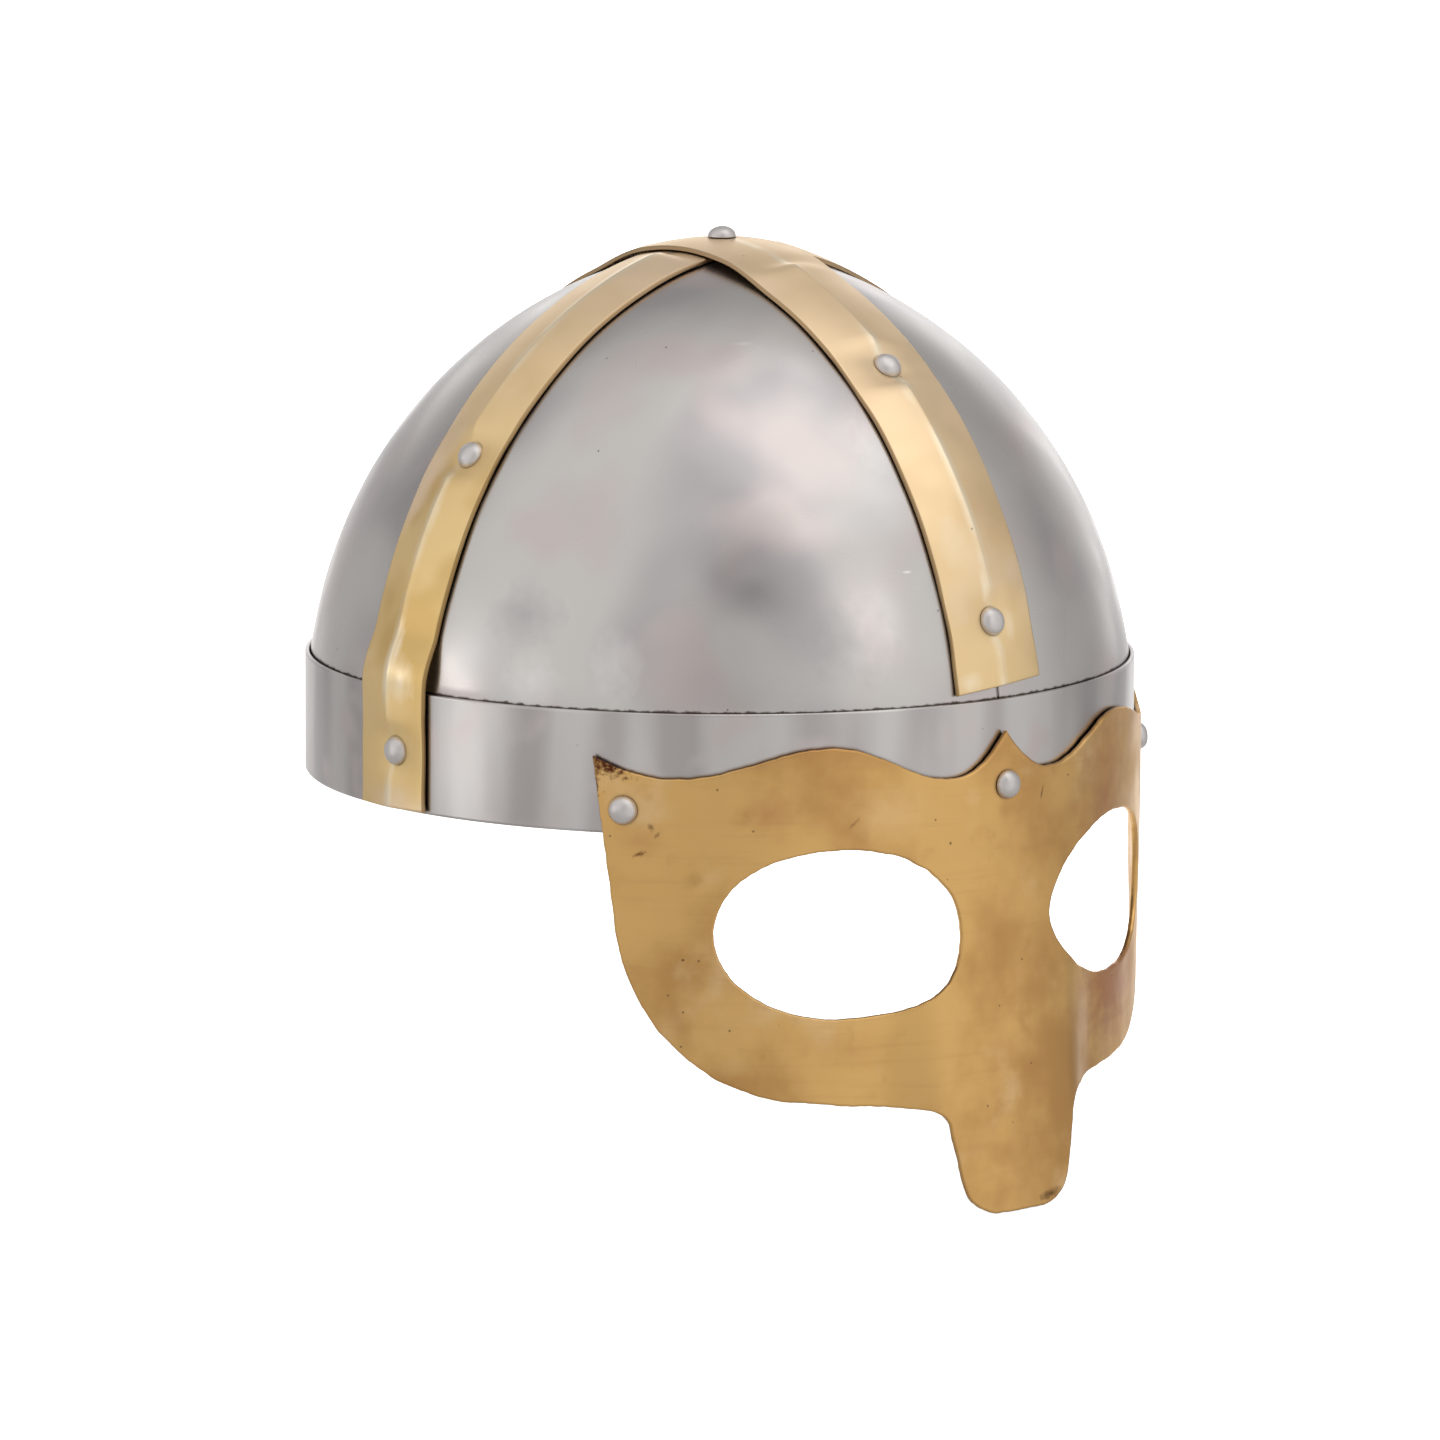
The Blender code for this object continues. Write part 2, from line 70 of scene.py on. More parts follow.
# Bands
side_band_shift = 0.0022       # from the plates' seam towards the back
ridge_fade = 0.55              # share of the ridge that is left at a band's end
side_band_end = 0.0006         # height of the side band's ends above the rim
front_band_end = 0.0330        # height of the front end, above the brow band
front_band_slant = 0.09        # slope of the cut across the front end
back_band_end = 0.0030
step_reach = 0.014             # height over which a band swings out on to the brow band
crossing_margin = 0.0015       # flat stretch of the upper band past the lower band's edges
crossing_swing = 0.020         # length over which the upper band comes down from the crossing
flat_round_rivet = 0.0036      # the ridge is hammered flat this far round a rivet
flat_round_crown = 0.0230      # and the upper band's this far round the crown
ridge_return = 0.0045          # the ridge is whole again this much further out
dimple_depth = 0.00045         # dish that the hammer left round each rivet
dimple_reach = 0.0075
worked_near = 0.006            # the sheet is most uneven this near a rivet or an end
worked_reach = 0.022           # and uneven this far from it
ridge_round = 0.0004           # half the width of the ridge's rounded top

# Rivets
shank_radius = 0.0017
tail_radius = 0.0029
tail_height = 0.0010
upper_rivet_share = 0.6505     # height of the upper rivets on the sides and the back, of the crown's
front_upper_rivet_share = 0.813
front_lower_rivet_share = 0.368
mask_end_rivet_height = 0.0062
mask_middle_rivet_height = 0.0090
mask_end_rivet_inset = 0.0078  # from the mask's end, along its curve

# Eye mask, measured along its curve from the middle of the face
mask_lean = 0.012              # how far the mask leans in, per length below the rim
nasal_half_width = 0.0163
nasal_corner = 0.0108
throat_half_width = 0.0219
throat_round = 0.0065
cheek_half_width = 0.0976
cheek_round = 0.0500
cheek_corner_share = 0.895     # height of the cheek's outer corner, as a share of its drop
eye_spacing = 0.0467           # middle of the face to middle of an eye opening
eye_drop = 0.0249
nose_flat = 0.0200
nose_foot = 0.0370
nose_start = 0.0090            # depth below the rim where the nose starts to rise
free_depth = 0.020             # depth below the rim where the sheet waves freely

# Upper edge of one half of the mask, from the middle outwards
# across: share of the half width; height: share of the rise; pointed: a cusp and not a round
MASK_TOP = [
    {"across": 0.000, "height": 1.00, "pointed": True},
    {"across": 0.148, "height": 0.53, "pointed": False},
    {"across": 0.455, "height": 0.96, "pointed": False},
    {"across": 0.810, "height": 0.63, "pointed": False},
    {"across": 1.000, "height": 0.86, "pointed": True},
]

# Squareness of each quarter of an eye opening, 2 being an ellipse, and how far down it reaches, as a share
# of half its height; the openings are cut by hand
EYES = [
    {"side": -1, "inner_top": 2.0, "outer_top": 2.2, "inner_foot": 2.6, "outer_foot": 1.95, "foot": 1.0},
    {"side": 1, "inner_top": 1.7, "outer_top": 2.2, "inner_foot": 1.8, "outer_foot": 2.4, "foot": 0.93},
]

# Marks on the mask: the place of the middle, across and above the rim, how far it reaches along and
# across its turn, and how strong it is; edge is the width of its soft border as a share of its reach, and
# ragged and grain are how far and how finely the border wanders
MASK_MARKS = [
    {"shade": "scorch", "at": (-0.1050, 0.0172), "reach": (0.0075, 0.0030), "turn": -14, "strength": 1.0,
     "ragged": 2.6, "grain": 0.0012},
    {"shade": "scorch", "at": (-0.1080, 0.0105), "reach": (0.0010, 0.0080), "strength": 0.85, "ragged": 3.0,
     "grain": 0.0010},
    {"shade": "dark", "at": (-0.0940, 0.0022), "reach": (0.0009, 0.0013), "turn": 30, "strength": 0.6,
     "ragged": 1.6, "grain": 0.0006},
    {"shade": "dark", "at": (-0.0925, 0.0002), "reach": (0.0012, 0.0006), "turn": 40, "strength": 0.5,
     "ragged": 1.6, "grain": 0.0006},
    {"shade": "scorch", "at": (-0.0967, -0.0045), "reach": (0.0020, 0.0007), "turn": 25, "strength": 0.8,
     "ragged": 2.0, "grain": 0.0007},
    {"shade": "red", "at": (-0.0960, -0.0010), "reach": (0.0075, 0.0055), "strength": 0.45, "edge": 1.4},
    {"shade": "red", "at": (-0.0650, 0.0065), "reach": (0.0085, 0.0070), "strength": 0.6, "edge": 1.2},
    {"shade": "pale", "at": (-0.0340, 0.0045), "reach": (0.0130, 0.0080), "strength": 0.6, "edge": 1.3},
    {"shade": "dark", "at": (-0.0440, 0.0026), "reach": (0.0026, 0.0005), "turn": 42, "strength": 0.4,
     "ragged": 2.0, "grain": 0.0008},
    {"shade": "dark", "at": (-0.0860, -0.0305), "reach": (0.0005, 0.0005), "strength": 0.9, "ragged": 0.6},
    {"shade": "dark", "at": (-0.0690, 0.0015), "reach": (0.0005, 0.0004), "strength": 0.7, "ragged": 0.6},
    {"shade": "dark", "at": (-0.0175, -0.0040), "reach": (0.0005, 0.0006), "strength": 0.8, "ragged": 0.6},
    {"shade": "dark", "at": (0.0125, 0.0055), "reach": (0.0004, 0.0024), "turn": -18, "strength": 0.6,
     "ragged": 1.6, "grain": 0.0008},
    {"shade": "brown", "at": (-0.0005, 0.0030), "reach": (0.0036, 0.0036), "strength": 0.6, "edge": 0.9},
    {"shade": "brown", "at": (-0.0880, -0.0440), "reach": (0.0035, 0.0140), "turn": 22, "strength": 0.55,
     "edge": 0.9},
    {"shade": "brown", "at": (-0.0445, -0.0535), "reach": (0.0140, 0.0060), "turn": -8, "strength": 0.5,
     "edge": 1.2},
    {"shade": "dark", "at": (0.0100, -0.0940), "reach": (0.0048, 0.0013), "turn": 8, "strength": 0.7,
     "ragged": 1.6, "grain": 0.0015},
    {"shade": "red", "at": (0.0420, 0.0000), "reach": (0.0170, 0.0300), "strength": 1.0, "edge": 1.3},
    {"shade": "red", "at": (0.0500, -0.0480), "reach": (0.0240, 0.0200), "strength": 2.00, "edge": 1.5},
]

# How far from the crown the bands' brass is paler
side_pale_reach = 0.115
front_pale_reach = 0.190

# Painted highlights on the bands, in paler and glossier brass: the place along the band from the crown and
# beside its ridge
FRONT_BAND_HIGHLIGHTS = [
    {"at": (0.1297, -0.0012), "reach": (0.0050, 0.0014), "strength": 1.00, "edge": 1.2},
    {"at": (0.1442, 0.0006), "reach": (0.0045, 0.0008), "strength": 0.90, "edge": 1.2},
    {"at": (0.1515, -0.0098), "reach": (0.0030, 0.0042), "strength": 0.90, "edge": 1.5},
    {"at": (0.1402, 0.0055), "reach": (0.0050, 0.0018), "strength": 0.60, "edge": 1.2},
    {"at": (0.1182, -0.0070), "reach": (0.0080, 0.0050), "strength": 0.35, "edge": 1.2},
    {"at": (0.0772, -0.0015), "reach": (0.0060, 0.0016), "strength": 0.60, "edge": 1.2},
]
SIDE_BAND_HIGHLIGHTS = [
    {"at": (0.1550, 0.0045), "reach": (0.0060, 0.0052), "strength": 1.10, "edge": 1.6},
    {"at": (0.1490, 0.0015), "reach": (0.0080, 0.0016), "strength": 0.90, "edge": 1.2},
    {"at": (0.1760, 0.0008), "reach": (0.0060, 0.0010), "strength": 0.80, "edge": 1.2},
    {"at": (0.1146, 0.0012), "reach": (0.0100, 0.0014), "strength": 0.60, "edge": 1.2},
]

# Marks on the plates, the pale ones painted highlights: the place along the sheet from the crown, and round
# the rim from the front
PLATE_MARKS = [
    {"shade": "dull", "at": (0.1355, -0.1290), "reach": (0.0085, 0.0130), "strength": 0.50, "edge": 1.5},
    {"shade": "dull", "at": (0.1397, -0.0421), "reach": (0.0120, 0.0150), "strength": 0.40, "edge": 1.4},
    {"shade": "pale", "at": (0.1459, -0.1023), "reach": (0.0100, 0.0080), "strength": 0.45, "edge": 1.4},
    {"shade": "pale", "at": (0.0885, -0.0194), "reach": (0.0120, 0.0120), "strength": 0.30, "edge": 1.4},
    {"shade": "pale", "at": (0.0554, -0.0651), "reach": (0.0012, 0.0050), "strength": 0.30, "edge": 1.2},
    {"shade": "pale", "at": (0.1238, -0.0233), "reach": (0.0004, 0.0018), "strength": 0.80, "edge": 0.8},
    {"shade": "pit", "at": (0.0911, -0.1175), "reach": (0.0004, 0.0004), "strength": 0.80, "edge": 0.6},
    {"shade": "pit", "at": (0.0572, -0.1032), "reach": (0.0004, 0.0006), "strength": 0.70, "edge": 0.6},
    {"shade": "pit", "at": (0.0623, -0.1300), "reach": (0.0003, 0.0005), "strength": 0.70, "edge": 0.6},
    {"shade": "pale", "at": (0.1510, -0.1250), "reach": (0.0090, 0.0090), "strength": 0.40, "edge": 1.3},
]

# Fineness of the meshes
edge_round = 0.00025           # bevel of a cut sheet edge
edge_hold = 0.0007             # width of the strip that keeps a bevel's shading off the sheet
sheet_step = 0.0020
mask_step = 0.0018
ring_columns = 288
rivet_sides = 36

# Unevenness of hand-worked sheet: size of the lumps, then their height
plate_lump, plate_wave = 0.045, 0.00014
band_lump, band_wave = 0.022, 0.00009
worked_lump, worked_wave = 0.012, 0.00032
ring_lump, ring_wave = 0.030, 0.00012
mask_lump, mask_wave = 0.040, 0.00035
cut_lump, cut_wave = 0.0050, 0.00022
nick_lump, nick_wave = 0.0019, 0.00016

rim_rest_radius = 0.1042       # where the frame's resting point lies on the lower rim

# Studio
view_middle = 0.0404           # height on the upright helmet that the camera turns about
camera_pitch = math.radians(0.639)
light_aim = Vector((0.0, 0.0, 0.08))
table_half = 0.62
doorway_direction = Vector((-0.417, -0.379, 0.826)).normalized()    # a dark opening over the camera
doorway_reach = (math.radians(11.5), math.radians(7.5))             # half its width and half its height
doorway_shade = (0.16, 0.16, 0.165, 1.0)

# Lit panels under the table: the middle, half the length and half the width, the turn and the brightness
TABLE_PANELS = [
    {"at": (0.226, 0.212), "reach": (0.38, 0.19), "turn": 43, "glow": 0.85},
    {"at": (-0.330, 0.075), "reach": (0.13, 0.050), "turn": -15, "glow": 0.80},
]

# Brightness of the room at angles from the camera's side of it
ROOM = [(0, 0.28), (20, 0.37), (35, 0.46), (60, 0.46), (85, 0.465), (102, 0.35), (116, 0.24), (136, 0.20),
        (151, 0.62), (165, 0.84), (180, 0.90)]

# Softboxes: where they stand, their width and height, and their brightness
SOFTBOXES = [
    {"name": "overhead_softbox", "place": (0.10, 0.02, 1.15), "width": 0.95, "height": 0.80, "glow": 0.56},
    {"name": "left_strip_light", "place": (-1.24, 0.70, -0.03), "width": 0.20, "height": 0.22, "glow": 3.00},
    {"name": "front_softbox", "place": (0.05, -0.82, 1.00), "width": 0.28, "height": 0.36, "glow": 0.70},
]


def linear(hex_colour):
    """Linear colour of an sRGB hex value."""
    values = [int(hex_colour[place:place + 2], 16) / 255 for place in (1, 3, 5)]
    return tuple(value / 12.92 if value <= 0.04045 else ((value + 0.055) / 1.055) ** 2.4 for value in values)


def length(name, default, description):
    return bpy.props.FloatProperty(name=name, description=description, default=default, min=0.0,
                                   unit="LENGTH", precision=4)


def colour(name, hex_colour, description):
    return bpy.props.FloatVectorProperty(name=name, description=description, default=linear(hex_colour),
                                         size=3, min=0.0, max=1.0, subtype="COLOR")


class SpangenhelmSizes(bpy.types.PropertyGroup):
    """Sizes of the helmet"""

    rim_radius: length("Rim radius", 0.105, "Outside radius of the brow band")
    brow_height: length("Brow band height", 0.030, "Height of the brow band")
    crown_height: length("Crown height", 0.1316, "Height of the skull above the lower rim")
    steel_sheet: length("Steel sheet", 0.0012, "Thickness of the skull plates and the brow band")
    band_sheet: length("Band sheet", 0.0012, "Thickness of the brass bands")
    mask_sheet: length("Mask sheet", 0.0015, "Thickness of the eye mask")
    side_band_width: length("Side band width", 0.024, "Width of the band from side to side")
    front_band_width: length("Front band width", 0.0275, "Width of the band from front to back")
    ridge_rise: length("Ridge", 0.0018, "Height of the ridge along the bands")
    mask_half_width: length("Mask half width", 0.1087, "Half the length of the eye mask along its curve")
    mask_rise: length("Mask rise", 0.0223, "Height of the mask's middle peak above the lower rim")
    cheek_drop: length("Cheek drop", 0.0698, "How far the cheeks of the mask reach below the rim")
    nasal_drop: length("Nasal drop", 0.0965, "How far the nasal reaches below the rim")
    nose_rise: length("Nose rise", 0.0086, "How far the nose stands out at the tip of the nasal")
    eye_half_width: length("Eye half width", 0.0318, "Half the width of an eye opening")
    eye_half_height: length("Eye half height", 0.0210, "Half the height of an eye opening")
    head_radius: length("Rivet head radius", 0.0036, "Radius of the domed rivet heads")
    head_height: length("Rivet head height", 0.0028, "Height of the domed rivet heads")


class SpangenhelmColours(bpy.types.PropertyGroup):
    """Colours of the metals and of the floor"""

    skull_steel: colour("Skull steel", "#ccc8c4", "Satin-polished mild steel of the plates")
    # Pale steel for the painted highlights on the plates
    skull_steel_pale_highlight: colour("Skull steel, pale", "#f3f0ee", "Patches on the plates that were rubbed bright")
    skull_steel_warm: colour("Skull steel, warm", "#cbc1be", "Faintly pinker handled patches on the plates")
    skull_steel_dull: colour("Skull steel, dull", "#8f9093", "Dull bluish marks on the plates")
    skull_steel_dark: colour("Skull steel, dark", "#b6b1b1", "Cloudy darker marks on the plates")
    brow_steel: colour("Brow steel", "#cbc7c4", "Brushed mild steel of the brow band")
    brow_steel_dark: colour("Brow steel, dark", "#b4aeac", "Darker streaks on the brow band")
    band_brass: colour("Band brass", "#edce94", "Polished brass of the bands")
    band_brass_dark: colour("Band brass, dark", "#dab778", "Darker brass in patches")
    band_brass_pale: colour("Band brass, pale", "#f5dab8", "Paler, pinker brass in patches")
    # Dull cut brass, which also paints the shade of the shadow line along the bands' edges
    cut_brass_and_shade: colour("Cut brass", "#8a6a42", "Dull brass of the bands' cut edges")
    # Pale brass for wear and for the painted highlights along the ridge and at the listed places
    band_brass_highlight_and_wear: colour("Band brass, worn", "#fdeed2", "Brass worn bright along the ridge")
    mask_brass: colour("Mask brass", "#deb270", "Tarnished brass of the eye mask")
    mask_brass_dark: colour("Mask brass, dark", "#c2935a", "Browner tarnish on the eye mask")
    mask_brass_pale: colour("Mask brass, pale", "#e6c18d", "Worn paler patches on the eye mask")
    mask_brass_red: colour("Mask brass, red", "#bd8457", "Redder tarnish on the eye mask")
    scorch: colour("Scorch", "#5a2f1c", "Red-brown heat marks at the mask's corner")
    # Grime, and the painted shade that ambient occlusion lays in corners and under edges
    grime_and_shade: colour("Grime", "#3d2c22", "Heat marks, specks and smears")
    rivet_steel: colour("Rivet steel", "#d2cdca", "Pale satin steel of the rivet heads")
    floor: colour("Floor", "#d6d6d6", "Opal acrylic of the table")


class SpangenhelmStudio(bpy.types.PropertyGroup):
    """Camera and light"""

    azimuth: bpy.props.FloatProperty(name="Azimuth", description="Camera's way round the upright helmet",
                                     default=math.radians(-41.5), subtype="ANGLE")
    elevation: bpy.props.FloatProperty(name="Elevation", description="Camera's height over the rim's plane",
                                       default=math.radians(8.72), subtype="ANGLE")
    roll: bpy.props.FloatProperty(name="Roll", description="Camera's turn about its line of sight",
                                  default=math.radians(0.29), subtype="ANGLE")
    distance: length("Distance", 2.565, "Camera to the middle of the skull")
    focal_length: bpy.props.FloatProperty(name="Focal length", description="Focal length on a 36 mm sensor",
                                          default=253.5, min=10.0, unit="CAMERA")
    softbox_glow: bpy.props.FloatProperty(name="Softbox glow", description="Brightness of the softboxes",
                                          default=1.0, min=0.0)
    ambient: bpy.props.FloatProperty(name="Ambient", description="Brightness of the room's brightest wall",
                                     default=1.9, min=0.0)
    table_glow: bpy.props.FloatProperty(name="Table glow", description="Brightness of the table as seen",
                                        default=0.85, min=0.0)


def smooth(value, start, end):
    """Rise from 0 at start to 1 at end, level at both."""
    share = np.clip((value - start) / (end - start), 0.0, 1.0)
    return share * share * (3 - 2 * share)


class Meridian:
    """A line down the helmet from the crown: radius and height at each distance run along it."""

    def __init__(self, points):
        self.points = np.array(points)
        steps = np.hypot(*np.diff(self.points, axis=0).T)
        self.runs = np.concatenate(([0.0], np.cumsum(steps)))

    def at(self, run):
        return [np.interp(run, self.runs, column) for column in self.points.T]

    def outward(self, run):
        nudge = 0.0008
        radius, height = self.at(run + nudge)
        radius_before, height_before = self.at(run - nudge)
        radial, rise = height_before - height, radius - radius_before
        radial = np.where(run > nudge, radial, 0.0)
        # Past the line's end there is no direction, and the floor keeps the division from failing
        span = np.maximum(np.hypot(radial, rise), 1e-12)
        return radial / span, rise / span

    def run_at(self, height):
        return float(np.interp(-height, -self.points[:, 1], self.runs))

    def radius_at(self, height):
        return np.interp(-height, -self.points[:, 1], self.points[:, 0])


def dome_points(size, lowest):
    """Outside of the skull from the crown down to a height."""
    lowest_angle = math.asin((lowest / size.crown_height) ** (dome_rise / 2))
    angles = np.linspace(math.pi / 2, lowest_angle, 2400)
    radii = (size.rim_radius + dome_swell) * np.maximum(np.cos(angles), 0.0) ** (2 / dome_round)
    heights = size.crown_height * np.sin(angles) ** (2 / dome_rise)
    return list(zip(radii, heights))


def plate_line(size):
    plate_radius = size.rim_radius - size.steel_sheet - gap
    points = [(min(radius, plate_radius), height) for radius, height in dome_points(size, size.brow_height)]
    return Meridian(points + [(plate_radius, plate_foot)])


def band_line(size, end_height, over_brow):
    """What a band lies on: the dome and, where it reaches that far, the brow band."""
    if not over_brow:
        return Meridian(dome_points(size, end_height))
    points = []
    for radius, height in dome_points(size, size.brow_height):
        swing = float(smooth(size.brow_height + step_reach - height, 0.0, step_reach))
        points.append((radius + (size.rim_radius - radius) * swing, height))
    return Meridian(points + [(size.rim_radius, end_height)])


def turned(radial, across, height, angle):
    """Points at places along and across the direction that an angle from the front gives."""
    sine, cosine = np.sin(angle), np.cos(angle)
    sideways, backwards = radial * sine + across * cosine, across * sine - radial * cosine
    return np.stack(np.broadcast_arrays(sideways, backwards, height), axis=-1)


def waves(points, lump, height, seed=0.0):
    """Gentle unevenness at each point of hand-worked sheet, in lumps of a size."""
    flat = points.reshape(-1, 3)
    values = [noise.noise(Vector(point) / lump + Vector((seed, seed, seed))) for point in flat]
    return height * np.array(values).reshape(points.shape[:-1])


def bordered(start, end, step):
    """Places from start to end about a step apart, with a bevel and a holding strip at both ends."""
    inner = np.linspace(start + edge_hold, end - edge_hold, max(2, round((end - start) / step)))
    return np.concatenate(([start, start + edge_round], inner, [end - edge_round, end]))


def mesh_from(name, points, faces):
    mesh = bpy.data.meshes.new(name)
    mesh.from_pydata([tuple(point) for point in points], [], faces)
    shape = bmesh.new()
    shape.from_mesh(mesh)
    bmesh.ops.recalc_face_normals(shape, faces=shape.faces)
    shape.to_mesh(mesh)
    shape.free()
    return mesh


def mark_places(mesh, places, inward=0.0):
    """Each point's place on its sheet: metres along it, across it and in from its cut edge."""
    values = np.zeros((len(places), 3))
    values[:, :2] = places
    values[:, 2] = inward
    attribute = mesh.attributes.new("sheet_place", "FLOAT_VECTOR", "POINT")
    attribute.data.foreach_set("vector", values.ravel())


def sheet_mesh(name, outside, inside, along, across, closed=False, inward=None):
    """A solid sheet from two grids of points, one for each face; closed joins its two sides to a ring."""
    rows, columns = outside.shape[:2]
    wide = columns if closed else columns - 1

    def index(face, row, column):
        return (face * rows + row) * columns + column % columns

    faces = []
    for row in range(rows - 1):
        for column in range(wide):
            for face in (0, 1):
                faces.append([index(face, row, column), index(face, row, column + 1),
                              index(face, row + 1, column + 1), index(face, row + 1, column)])
    for column in range(wide):
        for row in (0, rows - 1):
            faces.append([index(0, row, column), index(0, row, column + 1),
                          index(1, row, column + 1), index(1, row, column)])
    if not closed:
        for row in range(rows - 1):
            for column in (0, columns - 1):
                faces.append([index(0, row, column), index(0, row + 1, column),
                              index(1, row + 1, column), index(1, row, column)])
    mesh = mesh_from(name, np.concatenate([outside.reshape(-1, 3), inside.reshape(-1, 3)]), faces)
    places = np.stack([along, across], axis=-1).reshape(-1, 2)
    mark_places(mesh, np.concatenate([places, places]), 0.0 if inward is None else np.tile(inward.ravel(), 2))
    return mesh


def sheet_depths(shape, sheet, closed=False):
    """Depth of the outside and of the inside at each point of a grid, drawn in at the cut edges."""
    border = np.zeros(shape, bool)
    border[[0, -1], :] = True
    if not closed:
        border[:, [0, -1]] = True
    return np.where(border, edge_round, 0.0), np.where(border, sheet - edge_round, sheet)


def resting():
    """How the helmet lies: the turn and shift that its rim's resting point shows."""
    mount = frame["record"]["mounts"][0]
    down = Vector(mount["axis"])
    turn = Matrix.Rotation(-math.atan2(-down.y, -down.z), 4, "X")
    shift = Vector(mount["pos_m"]) - turn @ Vector((0.0, rim_rest_radius, 0.0))
    return Matrix.Translation(shift) @ turn


def lay_down(name, mesh, material, node, sharp=50):
    """Link an upright mesh as a piece that stands for a node, and lay it as the helmet lies."""
    piece = bpy.data.objects.new(name, mesh)
    bpy.context.scene.collection.objects.link(piece)
    mesh.shade_smooth()
    mesh.set_sharp_from_angle(angle=math.radians(sharp))
    mesh.materials.append(material)
    mesh.transform(resting())
    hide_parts(node)
    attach(piece, "root")
    return piece


def skull_plate_mesh(size, name, quarter):
    """One quarter of the skull; quarter 0 is the front right, as the wearer has it."""
    line = plate_line(size)
    top_run = float(np.interp(crown_hole, line.points[:, 0], line.runs))
    runs = bordered(top_run, line.run_at(plate_foot), sheet_step)
    widest = size.rim_radius * math.pi / 2
    shares = bordered(0.0, widest, sheet_step) / widest
    run, share = np.meshgrid(runs, shares, indexing="ij")
    radius, height = line.at(run)
    out_radial, out_height = line.outward(run)
    level = 1 - smooth(height, size.brow_height, size.brow_height + plate_bend)
    out_radial, out_height = out_radial + (1 - out_radial) * level, out_height * (1 - level)
    slit = np.arcsin(seam / 2 / radius)
    angle = -math.pi / 2 + quarter * math.pi / 2 + slit + (math.pi / 2 - 2 * slit) * share
    middle = turned(radius, 0.0, height, angle)
    wave = waves(middle, plate_lump, plate_wave) + waves(middle, plate_lump / 3, plate_wave / 6, 7.0)
    faces = []
    for depth in sheet_depths(run.shape, size.steel_sheet):
        rise = wave - depth
        faces.append(turned(radius + rise * out_radial, 0.0, height + rise * out_height, angle))
    return sheet_mesh(name, *faces, run, angle * size.rim_radius)


def brow_band_mesh(size, name):
    heights = bordered(0.0, size.brow_height, sheet_step)
    angles = np.arange(ring_columns) * 2 * math.pi / ring_columns + math.pi
    height, angle = np.meshgrid(heights, angles, indexing="ij")
    # The strip bends round and hardly upwards, so its lumps are drawn out upwards
    middle = turned(size.rim_radius, 0.0, height * 0.3, angle)
    wave = waves(middle, ring_lump, ring_wave, 3.0) - ring_wave
    faces = []
    for depth in sheet_depths(height.shape, size.steel_sheet, closed=True):
        faces.append(turned(size.rim_radius + wave - depth, 0.0, height, angle))
    return sheet_mesh(name, *faces, angle * size.rim_radius, height, closed=True)


def settle(line, run, across):
    """Radius and height of the line's surface beside the line, measured in along its normal."""
    radius, height = line.at(run)
    out_radial, out_height = line.outward(run)
    near, far = np.zeros_like(run), np.abs(across)
    for _ in range(30):
        middle = (near + far) / 2
        away = np.hypot(across, radius - middle * out_radial)
        outside = away > line.radius_at(height - middle * out_height)
        near, far = np.where(outside, middle, near), np.where(outside, far, middle)
    return radius - near * out_radial, height - near * out_height


class BandHalf:
    """One half of a band, from the crown down one side of the helmet."""

    def __init__(self, size, angle, end_height, over_brow, rivet_heights, slant=0.0):
        self.angle = angle
        self.line = band_line(size, end_height - abs(slant) * size.front_band_width / 2, over_brow)
        self.end = self.line.run_at(end_height)
        self.slant = slant
        self.rivets = [self.line.run_at(height) for height in rivet_heights]


def band_halves(size):
    """The halves of the bands: front, back, right and left."""
    front = [front_upper_rivet_share * size.crown_height, front_lower_rivet_share * size.crown_height]
    other = [upper_rivet_share * size.crown_height, size.brow_height / 2]
    return (
        BandHalf(size, 0.0, front_band_end, False, front, -front_band_slant),
        BandHalf(size, math.pi, back_band_end, True, other),
        BandHalf(size, -math.pi / 2, side_band_end, True, other),
        BandHalf(size, math.pi / 2, side_band_end, True, other),
    )


def ridge_at(size, half, run, flat_crown):
    """Height of the ridge: hammered flat at each rivet and at the crown, and lower at the end."""
    rise = size.ridge_rise * (1 - (1 - ridge_fade) * smooth(run, half.end * 0.75, half.end))
    rise = rise * smooth(run, flat_crown, flat_crown + ridge_return)
    for rivet in half.rivets:
        rise = rise * smooth(abs(run - rivet), flat_round_rivet, flat_round_rivet + ridge_return)
    return rise


def half_band(size, halves, first, run, across, share, flat_crown, lift):
    """Points and normals of the outside of a band's half, before the sheet's thickness."""
    half = halves[0] if first else halves[1]
    distance = abs(run) + half.slant * across * smooth(abs(run), half.end / 2, half.end)
    radial, height = settle(half.line, distance, across)
    out_radial, out_height = half.line.outward(distance)
    side = 1 if first else -1
    rise = gap + lift(size, distance) + ridge_at(size, half, distance, flat_crown) * (1 - abs(share))
    for rivet in half.rivets:
        away = np.hypot(distance - rivet, across)
        rise = rise - dimple_depth * (1 - smooth(away, 0.0, dimple_reach)) * (away > 0)
    return side, radial, height, out_radial, out_height, rise


